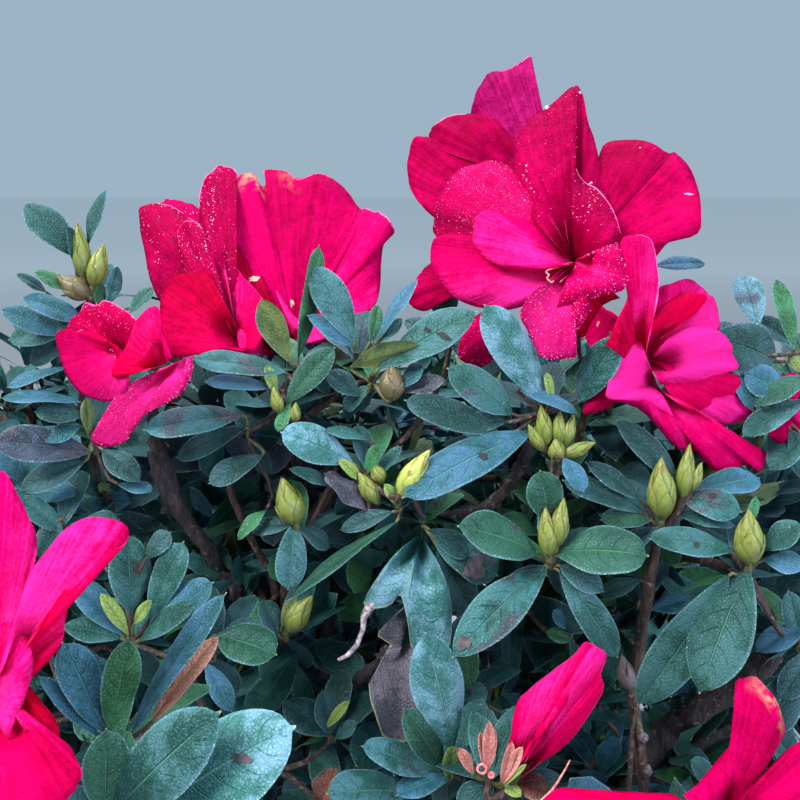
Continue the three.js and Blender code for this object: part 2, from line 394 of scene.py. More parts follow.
def makeBark():
    wood = [name for name in cadNodes if name.startswith(("trunk", "stem_", "bough_"))]
    form = bmesh.new()
    for name in wood:
        form.from_mesh(cadNodes[name].data)
    oldStems = [stemStrand(row) for row in frontStems.values() if not row["young"]]
    form.from_mesh(curveMesh("stems", oldStems, 10))
    bmesh.ops.remove_doubles(form, verts=form.verts, dist=1e-5)
    mesh = meshOf("bark", form, [oldBark])
    piece = newPiece("bark", mesh, wood)
    remesh = piece.modifiers.new("remesh", "REMESH")
    remesh.mode = "VOXEL"
    remesh.voxel_size = barkLook["voxel"]
    bpy.context.view_layer.update()
    solid = bpy.data.meshes.new_from_object(piece.evaluated_get(bpy.context.evaluated_depsgraph_get()))
    piece.modifiers.clear()
    form = bmesh.new()
    form.from_mesh(solid)
    for _ in range(3):
        bmesh.ops.smooth_vert(form, verts=form.verts, factor=0.5,
                              use_axis_x=True, use_axis_y=True, use_axis_z=True)
    form.normal_update()
    for vert in form.verts:
        if vert.co.z < barkLook["flatFoot"]:
            vert.co.z = max(vert.co.z, 0.0)
            continue
        stretched = Vector((vert.co.x, vert.co.y, vert.co.z * 0.25))
        furrow = noise.fractal(stretched * 520, 0.7, 2.1, 3)
        lump = noise.noise(vert.co * 130)
        vert.co += vert.normal * (furrow * barkLook["furrowDepth"] + lump * barkLook["lumpDepth"])
    piece.data = meshOf("bark", form, [oldBark])
    print("bark:", len(piece.data.polygons), "faces")


makeBark()
youngStems = [stemStrand(row) for row in frontStems.values() if row["young"]]
youngMesh = curveMesh("young_stems", youngStems, 12, [youngBark])
for vert in youngMesh.vertices:
    vert.co += noise.noise_vector(vert.co * 700) * barkLook["youngDepth"]
newPiece("young_stems", youngMesh)


# Leaves: one grid of a few faces, given its outline, fold and bend for each leaf
tones = {  # green below, painted sky sheen on it, rib, sheen of the hairs and, for some, the blotched share
    "dark": ((0.005, 0.034, 0.024), (0.02, 0.064, 0.07), (0.03, 0.12, 0.07), 0.07),
    "mid": ((0.006, 0.052, 0.032), (0.03, 0.104, 0.102), (0.06, 0.22, 0.12), 0.08),
    "green": ((0.006, 0.048, 0.016), (0.016, 0.074, 0.036), (0.08, 0.25, 0.09), 0.05),
    "teal": ((0.008, 0.058, 0.042), (0.044, 0.132, 0.148), (0.08, 0.26, 0.16), 0.1),
    # the pale and bluish rows are leaves painted lighter and bluer: painted reflection of the sky
    "pale": ((0.024, 0.12, 0.104), (0.13, 0.265, 0.345), (0.14, 0.32, 0.24), 0.14),
    "bluish": ((0.01, 0.072, 0.086), (0.038, 0.114, 0.196), (0.1, 0.3, 0.28), 0.16),
    "fresh": ((0.018, 0.09, 0.018), (0.04, 0.175, 0.06), (0.12, 0.32, 0.1), 0.04),
    "young": ((0.11, 0.19, 0.025), (0.25, 0.35, 0.062), (0.34, 0.43, 0.12), 0.04),
    "olive": ((0.06, 0.1, 0.016), (0.15, 0.195, 0.045), (0.22, 0.27, 0.09), 0.04),
    "scarred": ((0.007, 0.048, 0.034), (0.03, 0.125, 0.13), (0.08, 0.22, 0.15), 0.1, 0.13),
    "purple": ((0.014, 0.02, 0.034), (0.04, 0.042, 0.074), (0.1, 0.09, 0.11), 0.12, 0.1),
    "withered": ((0.062, 0.052, 0.066), (0.15, 0.124, 0.16), (0.22, 0.18, 0.19), 0.16, 0.06),
    "dead": ((0.32, 0.125, 0.07), (0.56, 0.24, 0.15), (0.56, 0.3, 0.18), 0.03),
    "rust": ((0.09, 0.024, 0.014), (0.22, 0.062, 0.034), (0.24, 0.1, 0.05), 0.03),
    "blush": ((0.5, 0.16, 0.12), (0.78, 0.28, 0.24), (0.58, 0.36, 0.16), 0.08),
}
toneNames = list(tones)


def leafFinish(name, under, paintedSheen, rib, sheen, blotched=-0.03):
    look = Finish(name)
    across, along = look.mapped("Leaf")
    place = look.place()
    aside = abs(across * 2 - 1)
    ribLine = (1 - aside.fade(0.015, 0.06)) * (1 - along.fade(0.6, 1.0))
    wander = look.grain(place, 150, 2) * 0.35
    veinLine = abs((along * 7 - aside ** 1.5 * 1.6 + wander).fract() - 0.5)
    vein = (1 - veinLine.fade(0.0, 0.06)) * (1 - aside.fade(0.5, 0.9)) * (1 - ribLine)
    shape = {"feature": "DISTANCE_TO_EDGE"}
    puff = look.node("ShaderNodeTexVoronoi", shape, {"Vector": place, "Scale": 1150.0}).fade(0.0, 0.22)
    cloud = look.grain(place, 75, 4, 0.6).fade(0.38, 0.58)
    fine = look.grain(place, 1300, 3, 0.65)
    # lit is a mask of painted light: broad patches of painted sky sheen, a little lighter towards the
    # margins, fine grain, and painted shade in the grooves of the vein net and along the veins
    lit = cloud * 0.85 + aside * 0.15 + (fine - 0.5) * 1.0 - (1 - puff) * 0.28 - vein * 0.16
    # dark is the painted shade of the green below, pale the painted highlight of the painted sheen
    dark = colour(*[c * 0.6 for c in under])
    pale = colour(*[c * 1.5 + 0.01 for c in paintedSheen])
    base = look.mix(lit.fade(-0.3, 0.25), dark, colour(*under))
    base = look.mix(lit.fade(0.15, 0.95), base, colour(*paintedSheen))
    base = look.mix(lit.fade(1.0, 1.5), base, pale)
    base = look.mix(ribLine * 0.5, base, colour(*rib))
    blotch = look.grain(place, 58, 3).fade(0.66 - blotched, 0.71 - blotched)
    bruise = look.mix(fine.fade(0.5, 0.7), colour(0.034, 0.022, 0.030), colour(0.120, 0.070, 0.085))
    base = look.mix(blotch * 0.75, base, bruise)
    rim = aside.fade(0.86, 0.99)
    hair = look.grain(place, 2600, 1).fade(0.58, 0.68)
    base = look.mix(hair * (0.14 + rim * 0.6) + rim * 0.16, base, colour(0.26, 0.48, 0.56))
    base = look.mix(along.fade(0.975, 1.0) * 0.7, base, colour(0.42, 0.44, 0.20))
    height = puff * 0.25 + fine * 0.3 - vein * 0.55 - ribLine * 1.6 + hair * 0.25 + cloud * 0.2
    normal = look.bump(height, 0.00032, 1.0)
    roughness = 0.36 + fine * 0.22
    return look.finish(look.paint({
        "Base Color": base, "Roughness": roughness, "Normal": normal,
        "Sheen Weight": sheen, "Sheen Roughness": 0.4, "Sheen Tint": colour(0.10, 0.60, 0.95),
        "Specular IOR Level": 0.5, "Specular Tint": colour(0.50, 0.82, 1.0),
    }))


leafFinishes = [leafFinish("leaf_" + name, *tone) for name, tone in tones.items()]


def leafRow(base, axis, normal, length, width, tone, bend=0.35, fold=0.28, curl=0.25, twist=0.0, wave=0.0,
            phase=0.0):
    return (*base, *axis, *normal, length, width, toneNames.index(tone), bend, fold, curl, twist, wave, phase)


def unit(rows):
    return rows / np.maximum(np.linalg.norm(rows, axis=-1, keepdims=True), 1e-9)


def leafMesh(name, rows, acrossFaces, alongFaces, point=0.0):  # point: the share that the tip takes
    form = bmesh.new()
    bmesh.ops.create_grid(form, x_segments=acrossFaces, y_segments=alongFaces, size=1.0)
    form.verts.ensure_lookup_table()
    grid = np.array([vert.co[:2] for vert in form.verts])
    corners = np.array([[vert.index for vert in face.verts] for face in form.faces])
    form.free()
    s = grid[:, 0]
    even = (grid[:, 1] + 1) / 2
    t = 0.45 * even + 0.55 * (1 - np.cos(np.pi * even)) / 2  # closer rows at both ends
    rows = np.array(rows, float)
    base, axis, normal = rows[:, 0:3], unit(rows[:, 3:6]), rows[:, 6:9]
    length, width, tone, bend, fold, curl, twist, wave, phase = (rows[:, k][:, None] for k in range(9, 18))
    blunt = 0.56 + 0.22 * (phase * 1.7 % 1)
    widest = 0.95 / (0.95 + blunt)
    body = np.minimum(t / (1 - point), 1.0)
    outline = 0.07 + 0.93 * (body ** 0.95 * (1 - body) ** blunt) / (widest ** 0.95 * (1 - widest) ** blunt)
    outline = np.where(t > 0.999, 0.02, outline)
    side = unit(np.cross(axis, normal))
    normal = np.cross(side, axis)
    bend = np.where(np.abs(bend) < 1e-3, 1e-3, bend)
    turned = bend * t
    forward = length * np.sin(turned) / bend
    drop = length * (1 - np.cos(turned)) / bend
    facing = normal[:, None] * np.cos(turned)[..., None] + axis[:, None] * np.sin(turned)[..., None]
    spin = twist * t
    across = side[:, None] * np.cos(spin)[..., None] + facing * np.sin(spin)[..., None]
    facing = facing * np.cos(spin)[..., None] - side[:, None] * np.sin(spin)[..., None]
    half = width / 2 * outline
    rise = half * (np.sin(fold) * np.abs(s) - curl * np.abs(s) ** 2.4)
    rise = rise + half * wave * np.abs(s) ** 1.5 * np.sin(t * 9 + phase + s * 1.7)
    sweep = half * s * np.cos(fold)
    places = (base[:, None] + axis[:, None] * forward[..., None] - normal[:, None] * drop[..., None]
              + across * sweep[..., None] + facing * rise[..., None])

    count, perLeaf, perFaces = len(rows), len(grid), len(corners)
    mesh = bpy.data.meshes.new(name)
    mesh.vertices.add(count * perLeaf)
    mesh.vertices.foreach_set("co", places.reshape(-1))
    loops = (corners[None] + np.arange(count)[:, None, None] * perLeaf).reshape(-1)
    mesh.loops.add(len(loops))
    mesh.loops.foreach_set("vertex_index", loops)
    mesh.polygons.add(count * perFaces)
    mesh.polygons.foreach_set("loop_start", np.arange(0, len(loops), 4))
    mesh.polygons.foreach_set("material_index", np.repeat(rows[:, 11].astype(int), perFaces))
    leafMap = np.stack([(s + 1) / 2, t], 1)
    leafMap = np.tile(leafMap[corners.reshape(-1)], (count, 1))
    mesh.uv_layers.new(name="Leaf").data.foreach_set("uv", leafMap.reshape(-1))
    cells = math.ceil(math.sqrt(count))  # an even sheet of cells, one for each leaf, to bake on
    cell = np.stack([np.arange(count) % cells, np.arange(count) // cells], 1)
    inCell = 0.08 + 0.84 * np.stack([(s + 1) / 2, even], 1)
    sheet = (cell[:, None] + inCell[None]) / cells
    mesh.uv_layers.new(name="OFBake").data.foreach_set("uv", sheet[:, corners.reshape(-1)].reshape(-1))
    mesh.update(calc_edges=True)
    mesh.validate()
    return finished(mesh, leafFinishes)


def leafPiece(name, rows, acrossFaces, alongFaces, replaced=(), point=0.0):
    print(name + ":", len(rows), "leaves")
    return newPiece(name, leafMesh(name, rows, acrossFaces, alongFaces, point), replaced)


# Leaves and buds that the photo shows, by the shoot that bears them
# (a shoot has the pixel and the depth of its end; a leaf has the pixels of its tip and of its start, its
# width in pixels, how many mm its tip is nearer than its start, and how many degrees its face looks up)
def shootAt(at, depth, leaves, buds=()):
    return {"at": at, "depth": depth, "leaves": leaves, "buds": buds}


def leaf(tip, start, width, near, turn, tone="dark", bend=20, fold=23, wave=0.07):
    return {"tip": tip, "start": start, "width": width, "near": near, "turn": turn, "tone": tone,
            "bend": bend, "fold": fold, "wave": wave}


def bud(tip, start, width, near=1, tone="green"):
    return {"tip": tip, "start": start, "width": width, "near": near, "tone": tone}


shoots = {
    "farLeftTop": shootAt((88, 292), 0.262, [
        leaf((25, 203), (75, 256), 35, 2, 25, "mid", bend=25), leaf((107, 189), (88, 245), 14, 0, 60, "teal"),
        leaf((68, 226), (76, 268), 12, 5, 55, "mid"), leaf((34, 272), (70, 290), 16, 5, 45, "fresh"),
        leaf((118, 266), (108, 304), 17, -4, 30, "teal"), leaf((100, 282), (98, 308), 15, -2, 20, "fresh"),
        leaf((153, 287), (130, 313), 15, -8, 30, "green")], [
            bud((77, 221), (84, 280), 17), bud((104, 243), (92, 288), 18),
            bud((56, 275), (90, 298), 21, 1, "brown")]),
    "farLeft": shootAt((84, 322), 0.266, [
        leaf((22, 297), None, 24, 5, 40, "bluish"), leaf((0, 309), (62, 335), 26, 5, 35, "bluish"),
        leaf((16, 274), (46, 292), 12, 5, 50, "mid"), leaf((8, 340), None, 30, -4, 30, "mid"),
        leaf((6, 388), (66, 368), 12, 5, 60, "bluish"), leaf((30, 365), None, 26, -8, 25)]),
    "leftEdge": shootAt((88, 432), 0.262, [
        leaf((0, 398), (80, 402), 14, 5, 62, "bluish"), leaf((34, 412), (84, 416), 22, 5, 25),
        leaf((86, 398), None, 15, 0, 20, "olive"), leaf((45, 442), (80, 426), 18, 5, 35, "bluish"),
        leaf((-6, 440), (90, 452), 40, 8, 15, "purple"), leaf((140, 482), (103, 450), 28, 5, 20),
        leaf((20, 490), (84, 462), 30, 2, 30), leaf((152, 492), (118, 484), 14, 5, 50, "bluish")]),
    "underDrooping": shootAt((245, 428), 0.242, [
        leaf((143, 430), (241, 415), 33, 6, 42, "scarred", bend=12), leaf((208, 484), (262, 456), 26, 4, 35),
        leaf((238, 540), (266, 510), 14, 3, 35, "fresh", bend=45, wave=0.2),
        leaf((176, 458), None, 26, -8, 25)]),
    "underLeft": shootAt((286, 400), 0.238, [
        leaf((192, 359), (285, 372), 26, 3, 48, "scarred", bend=10),
        leaf((204, 382), (270, 388), 17, 4, 50, "bluish"), leaf((266, 365), (276, 396), 13, 2, 30, "young"),
        leaf((232, 402), (272, 406), 10, 5, 50, "mid"), leaf((335, 347), (287, 402), 30, 3, 22, "green"),
        leaf((278, 432), (290, 404), 14, 4, 25, "fresh")], [
            bud((273, 386), (280, 414), 12), bud((296, 402), (294, 424), 11)]),
    "byFan": shootAt((300, 364), 0.243, [
        leaf((261, 298), (289, 360), 28, 3, 150, "olive", bend=6, fold=8),
        leaf((319, 244), (298, 358), 21, 0, 50, "fresh", bend=8), leaf((330, 392), (306, 364), 20, -4, 30)]),
    "rightOfFan": shootAt((356, 352), 0.243, [
        leaf((313, 265), (354, 342), 38, 1, 18, "teal", bend=18),
        leaf((307, 315), (353, 347), 18, 4, 48, "bluish"), leaf((418, 279), (380, 338), 15, -4, 58, "bluish"),
        leaf((378, 305), (370, 342), 16, -6, 25, "fresh"), leaf((402, 318), (372, 348), 18, -4, 35, "mid")]),
    "middleTop": shootAt((372, 374), 0.24, [
        leaf((421, 345), (352, 366), 26, 4, 145, "olive", bend=8),
        leaf((477, 311), (380, 368), 40, 4, 38, "mid", bend=14),
        leaf((424, 366), (398, 388), 18, 3, 50, "bluish"),
        leaf((446, 380), (402, 392), 18, 4, 30, "withered", wave=0.3),
        leaf((328, 372), (360, 396), 24, 0, 25), leaf((344, 410), (368, 386), 18, -3, 30, "mid")], [
            bud((393, 362), (391, 402), 24, 0, "brown")]),
    "behindMain": shootAt((450, 345), 0.262, [
        leaf((442, 279), (444, 322), 32, 0, 20), leaf((500, 372), None, 26, -2, 30),
        leaf((404, 320), None, 22, -4, 35)]),
    "middle": shootAt((545, 404), 0.236, [
        leaf((484, 304), (543, 400), 43, 6, 20, "pale", bend=16, fold=14),
        leaf((447, 368), (512, 414), 40, 3, 30, "mid"), leaf((577, 413), (520, 390), 14, 5, 58, "bluish"),
        leaf((620, 335), (578, 402), 38, 8, 18, "teal"), leaf((404, 400), (500, 434), 34, 0, 25),
        leaf((402, 498), (531, 432), 46, 8, 32, "bluish", bend=22),
        leaf((546, 372), (552, 402), 10, 2, 30, "young"), leaf((448, 424), (506, 422), 24, -2, 25)], [
            bud((541, 404), (547, 446), 15), bud((560, 410), (558, 446), 14), bud((574, 414), (564, 446), 13),
            bud((556, 436), (557, 462), 16), bud((596, 442), (562, 456), 13),
            bud((528, 424), (543, 452), 12)]),
    "leftOfMiddle": shootAt((366, 468), 0.236, [
        leaf((280, 432), (352, 462), 40, 6, 30, "pale"), leaf((289, 469), (332, 486), 14, 3, 55, "mid"),
        leaf((324, 430), (368, 440), 12, 2, 58, "mid"),
        leaf((324, 473), (366, 510), 22, 4, 35, "withered", wave=0.35),
        leaf((380, 444), (366, 474), 16, 3, 30, "fresh"), leaf((402, 446), (376, 476), 14, 1, 35, "mid"),
        leaf((338, 460), (362, 480), 13, 5, 35, "young"), leaf((358, 424), None, 22, -4, 30)], [
            bud((358, 472), (378, 504), 17), bud((374, 462), (382, 484), 14)]),
    "pinkTipped": shootAt((398, 502), 0.234, [
        leaf((384, 484), (398, 504), 12, 3, 25, "young"),
        leaf((290, 600), (396, 522), 14, 5, 60, "green", bend=14), leaf((420, 474), (402, 508), 20, -4, 30),
        leaf((340, 530), (392, 512), 20, -3, 30)], [
            bud((430, 449), (398, 498), 22, 3, "pale")]),
    "leftBud": shootAt((297, 530), 0.24, [
        leaf((288, 590), (294, 522), 34, 4, 12, "teal"), leaf((250, 530), (292, 524), 20, -4, 35),
        leaf((330, 548), (300, 528), 20, -5, 30)], [
            bud((282, 477), (296, 526), 26, 2)]),
    "hanging": shootAt((424, 516), 0.236, [
        leaf((498, 576), (434, 538), 46, -4, 18, "scarred", wave=0.2),
        leaf((470, 556), (430, 530), 26, -1, 30), leaf((470, 612), (438, 548), 40, -8, 15)]),
    "rosette": shootAt((552, 558), 0.226, [
        leaf((540, 470), (549, 522), 40, 2, 14, "green", bend=16),
        leaf((457, 526), (536, 552), 46, 8, 38, "green", bend=26),
        leaf((649, 556), (554, 552), 52, 9, 40, "green", bend=26), leaf((604, 592), (560, 566), 26, 4, 30),
        leaf((452, 658), (546, 568), 50, 6, 20, "scarred", bend=30),
        leaf((618, 658), (560, 572), 36, -4, 15, "teal", bend=30),
        leaf((584, 492), (564, 458), 22, 5, 30, "bluish"), leaf((500, 596), (544, 566), 24, -4, 25)], [
            bud((545, 507), (549, 558), 18), bud((564, 497), (556, 548), 17)]),
    "rightBud": shootAt((662, 528), 0.238, [
        leaf((562, 480), (640, 512), 24, 2, 38), leaf((585, 462), (640, 500), 20, 0, 40),
        leaf((616, 420), (677, 480), 28, 0, 28), leaf((742, 512), (682, 498), 34, 5, 34, "scarred"),
        leaf((735, 526), (674, 514), 18, 2, 50, "teal"), leaf((760, 478), (694, 492), 30, -6, 38, "bluish"),
        leaf((600, 520), (650, 520), 22, 3, 38, "green"), leaf((612, 556), (656, 528), 24, -4, 25)], [
            bud((661, 457), (662, 521), 26, 2), bud((690, 443), (682, 500), 16),
            bud((702, 462), (690, 492), 12)]),
    "farRightBud": shootAt((750, 572), 0.228, [
        leaf((649, 539), (734, 550), 30, 5, 42, "mid", bend=16),
        leaf((699, 694), (748, 570), 60, 5, -16, "mid", fold=14),
        leaf((637, 706), (728, 576), 54, -6, -12, "mid", bend=16, fold=30),
        leaf((802, 524), (764, 550), 28, 4, 38, "mid"), leaf((806, 567), (764, 560), 24, 5, 44, "bluish"),
        leaf((756, 496), (750, 522), 11, 0, 30, "fresh")], [
            bud((749, 509), (749, 566), 27, 3)]),
    "behindRight": shootAt((722, 350), 0.256, [
        leaf((777, 360), (712, 336), 56, 0, 18), leaf((706, 264), (655, 266), 16, 0, 50, "bluish"),
        leaf((742, 275), (758, 326), 32, -10, 15, "pale"), leaf((776, 278), (794, 350), 20, -8, 25, "fresh"),
        leaf((752, 318), (800, 345), 24, -8, 35)]),
    "rightEdge": shootAt((790, 410), 0.252, [
        leaf((742, 437), (803, 400), 27, 4, 35, "teal"), leaf((755, 406), (812, 374), 24, 2, 38, "green"),
        leaf((738, 377), (752, 410), 18, -2, 30, "bluish"),
        leaf((744, 372), (786, 396), 34, -2, 30, "bluish"), leaf((770, 470), (800, 440), 30, 2, 25, "mid"),
        leaf((812, 480), (790, 430), 30, 0, 25)]),
    "lowRightEdge": shootAt((800, 640), 0.25, [
        leaf((756, 652), (806, 626), 26, 2, 35, "bluish"), leaf((762, 735), (800, 664), 44, 0, 15),
        leaf((788, 590), None, 26, -2, 20, "mid"), leaf((780, 700), (812, 650), 30, 3, 15)]),
    "leftRosette": shootAt((128, 636), 0.236, [
        leaf((127, 534), (130, 612), 44, 0, 18, "mid"), leaf((184, 541), (150, 618), 34, 0, 20, "mid"),
        leaf((100, 593), (128, 634), 16, 4, 20, "young"), leaf((152, 600), (134, 624), 12, 4, 30, "young"),
        leaf((214, 582), (150, 634), 34, 4, 36, "bluish"), leaf((196, 604), (140, 640), 24, 6, 40, "mid"),
        leaf((72, 578), (120, 634), 32, 0, 28, "bluish"), leaf((62, 626), (120, 638), 26, 4, 40, "mid"),
        leaf((171, 532), (146, 558), 22, -1, 32), leaf((62, 532), (100, 560), 28, -6, 30, "mid")]),
    "leftInner": shootAt((60, 520), 0.258, [
        leaf((18, 498), (62, 532), 26, 3, 35, "mid"), leaf((146, 556), (96, 540), 26, 0, 38, "fresh"),
        leaf((120, 520), (76, 528), 24, -2, 35), leaf((40, 560), None, 30, 0, 25)], [
            bud((122, 530), (104, 552), 12)]),
    "lowLeft": shootAt((114, 736), 0.184, [
        leaf((227, 592), (132, 732), 26, 2, 48, "bluish", bend=14),
        leaf((128, 637), (110, 730), 40, 2, 14, "fresh"), leaf((62, 642), (102, 730), 44, 2, 24, "bluish"),
        leaf((38, 676), (98, 736), 22, 5, 34, "bluish"), leaf((96, 655), (106, 728), 30, -4, 22, "bluish"),
        leaf((220, 635), (152, 722), 24, -2, 28, "dead", wave=0.15)]),
    "underRosette": shootAt((212, 652), 0.232, [
        leaf((277, 655), (216, 635), 46, 5, 34, "green"), leaf((232, 712), (206, 664), 24, 2, 15, "bluish"),
        leaf((262, 620), (220, 638), 18, -4, 40)]),
    "foreground": shootAt((118, 806), 0.168, [
        leaf((296, 726), (150, 815), 88, 3, 26, "pale", bend=26, fold=12),
        leaf((221, 711), (112, 814), 72, 8, 20, "teal", bend=22, fold=16),
        leaf((106, 728), (104, 812), 50, 4, 12, "green"), leaf((240, 820), (130, 815), 54, 8, 40, "fresh"),
        leaf((60, 800), (98, 815), 40, 4, 30)]),
    "lowMiddle": shootAt((448, 770), 0.222, [
        leaf((425, 632), (452, 748), 54, 4, 14, "pale", bend=14, fold=12),
        leaf((403, 708), (442, 768), 36, 5, 18, "green"), leaf((361, 746), (434, 774), 32, 6, 36, "teal"),
        leaf((326, 794), (408, 792), 44, 8, 36, "teal"), leaf((396, 796), (450, 776), 24, 9, 46, "bluish"),
        leaf((476, 726), (458, 750), 12, 0, 20, "mid"), leaf((452, 745), (450, 782), 20, 3, 18, "young"),
        leaf((456, 748), (473, 772), 12, 5, 20, "blush", fold=30)]),
    "budFoot": shootAt((492, 792), 0.214, [
        leaf((462, 812), (492, 780), 34, 6, 30), leaf((521, 797), (498, 780), 14, 6, 34, "young"),
        leaf((550, 792), (510, 782), 26, 3, 34, "rust"), leaf((562, 776), (512, 788), 22, -2, 34, "teal"),
        leaf((546, 756), (514, 782), 7, 3, 20, "blush", fold=30), leaf((600, 800), (520, 790), 20, -4, 40)]),
    "fallenFlowers": shootAt((490, 776), 0.21, [
        leaf((489, 720), (486, 770), 15, 3, 20, "blush", fold=34, bend=14),
        leaf((480, 731), (485, 770), 12, 2, 20, "blush", fold=34, bend=18),
        leaf((494, 727), (488, 770), 12, 2, 10, "blush", fold=34, bend=18),
        leaf((523, 746), (503, 784), 14, 3, 15, "blush", fold=34, bend=14),
        leaf((512, 741), (501, 783), 13, 4, 20, "blush", fold=34, bend=16),
        leaf((527, 764), (504, 786), 7, 4, 30, "young", fold=34, bend=14),
        leaf((459, 748), (473, 774), 13, 3, 15, "blush", fold=30, bend=16)]),
    "dryBud": shootAt((637, 706), 0.25, [], [
            bud((621, 654), (631, 692), 17, 1, "dry"), bud((642, 731), (644, 742), 10, 1, "dry"),
            bud((649, 764), (646, 776), 9, 1, "dry")]),
    "deadLow": shootAt((330, 812), 0.246, [
        leaf((336, 768), (318, 806), 30, 0, 20, "rust", wave=0.3)]),
    "innerYellow": shootAt((330, 735), 0.252, [
        leaf((350, 700), (326, 728), 11, 2, 20, "young"), leaf((357, 722), (336, 738), 16, 2, 20, "mid"),
        leaf((322, 690), None, 28, -3, 25), leaf((282, 702), None, 36, -2, 30)]),
    "innerBright": shootAt((284, 632), 0.258, [
        leaf((296, 596), (282, 626), 14, 0, 30, "olive"), leaf((262, 600), (278, 634), 24, -2, 25)], [
            bud((313, 595), (286, 632), 21, 2)]),
    "innerRight": shootAt((570, 640), 0.262, [
        leaf((546, 632), (572, 640), 16, 0, 25, "fresh"), leaf((553, 610), (570, 630), 16, 0, 25, "bluish"),
        leaf((590, 690), None, 20, 0, 25)]),
    "besideStem": shootAt((640, 600), 0.256, [
        leaf((600, 596), (640, 580), 20, 0, 30, "mid"), leaf((690, 600), (652, 610), 22, 0, 30, "bluish"),
        leaf((668, 560), None, 20, 0, 25)]),
    "lowRightLeaf": shootAt((722, 796), 0.262, [
        leaf((690, 760), (716, 784), 22, 3, 30, "teal"), leaf((700, 798), (718, 790), 16, 2, 30, "mid")]),
    "yellowRight": shootAt((802, 372), 0.262, [
        leaf((786, 352), (800, 372), 11, 2, 30, "young"), leaf((797, 346), (803, 372), 9, 1, 30, "young")]),
    "behindBud": shootAt((470, 690), 0.248, [
        leaf((488, 692), (462, 696), 24, 0, 25, "mid"), leaf((540, 730), (500, 712), 24, -4, 25)]),
}


# The torn leaf that hangs from the middle: what is left of its blade, traced like a petal
tornLeaf = {"stalk": "hanging", "throat": (421, 537), "depth": 0.236, "turn": 0, "rise": cameraSetup["pitch"]}
tornRims = [
    {"tone": "pale", "near": [2, 3, 5, 5], "claw": (421, 537), "rim": [(412, 540), (400, 549), (388, 562),
        (375, 581), (364, 600), (366, 607), (374, 609), (390, 606), (399, 594), (404, 604), (408, 625),
        (412, 650), (430, 664), (444, 656), (451, 640), (452, 617), (450, 595), (444, 575), (437, 560)]},
    {"tone": "withered", "near": 1, "claw": (414, 600), "rim": [(401, 612), (388, 622), (377, 634),
        (385, 641), (393, 646), (397, 655), (398, 663), (388, 674), (370, 681), (369, 689), (371, 702),
        (375, 714), (383, 737), (396, 742), (412, 738), (428, 710), (436, 680), (436, 655)]},
]
tornStrip = {"path": [(384, 596), (371, 605), (364, 616), (363, 629), (357, 645), (348, 655), (338, 660)],
             "width": [13, 11, 7, 5, 5, 5, 3]}


def leafOnShoot(row, shoot):
    start = atPixel(row["start"] or shoot["at"], shoot["depth"])
    tip = atPixel(row["tip"], shoot["depth"] - row["near"] * mm)
    chord = tip - start
    along = chord.normalized()
    toEye = (eye - (start + tip) / 2).normalized()
    facing = (toEye - along * toEye.dot(along)).normalized()
    lift = facing.cross(along)
    if lift.z < -0.35 or (abs(lift.z) <= 0.35 and lift.x < 0):
        lift = -lift
    turn = math.radians(row["turn"])
    normal = facing * math.cos(turn) + lift * math.sin(turn)
    bend = math.radians(row["bend"])
    length = chord.length * (bend / 2) / math.sin(bend / 2)
    axis = along * math.cos(bend / 2) + normal * math.sin(bend / 2)
    width = row["width"] * pixelSize(shoot["depth"]) / max(abs(math.cos(turn)), 0.3)
    normal = normal * math.cos(bend / 2) - along * math.sin(bend / 2)
    return leafRow(start, axis, normal, length, width, row["tone"], bend, math.radians(row["fold"]),
                   curl=0.34, wave=row["wave"], phase=chord.length * 4000 % 6)


# Buds: a pointed body under overlapping scales
budTones = {
    "green": {"foot": (0.050, 0.085, 0.020), "middle": (0.180, 0.225, 0.036), "point": (0.25, 0.21, 0.07)},
    "pale": {"foot": (0.16, 0.26, 0.05), "middle": (0.40, 0.46, 0.09), "point": (0.60, 0.38, 0.24)},
    "brown": {"foot": (0.07, 0.08, 0.030), "middle": (0.120, 0.100, 0.042), "point": (0.09, 0.055, 0.035)},
    "dry": {"foot": (0.06, 0.05, 0.06), "middle": (0.130, 0.110, 0.130), "point": (0.20, 0.17, 0.19)},
}


def budFinish(name, foot, middle, point):
    look = Finish(name)
    across, along = look.mapped("Leaf")
    place = look.place()
    grain = look.grain(look.stretched(place, (1, 1, 0.35)), 900, 3)
    shade = along * 0.75 + grain * 0.4
    base = look.mix(shade.fade(0.1, 0.6), colour(*foot), colour(*middle))
    base = look.mix(shade.fade(0.75, 1.02), base, colour(*point))
    edge = abs(across * 2 - 1).fade(0.6, 1.0)
    rust = look.grain(place, 330, 4, 0.65).fade(0.53, 0.64)
    base = look.mix(rust * 0.55, base, colour(0.14, 0.065, 0.030))
    base = look.mix(edge * 0.5, base, colour(*[c * 0.6 for c in foot]))
    normal = look.bump(grain * 1.4 - edge, 0.0004, 0.8)
    return look.finish(look.paint({"Base Color": base, "Roughness": 0.34 + grain * 0.2, "Normal": normal,
                                   "Subsurface Weight": 0.08, "Subsurface Radius": (0.002, 0.003, 0.001)}))


budFinishes = [budFinish("bud_" + name, **tone) for name, tone in budTones.items()]


budShape = {"scales": 9, "spread": 62}  # degrees that a scale wraps to each side


def budWaist(t):  # half-width of a bud along its length
    return max(0.04, math.sin(math.pi * min(max(t, 0.0), 1.0) ** 0.78) ** 0.85)


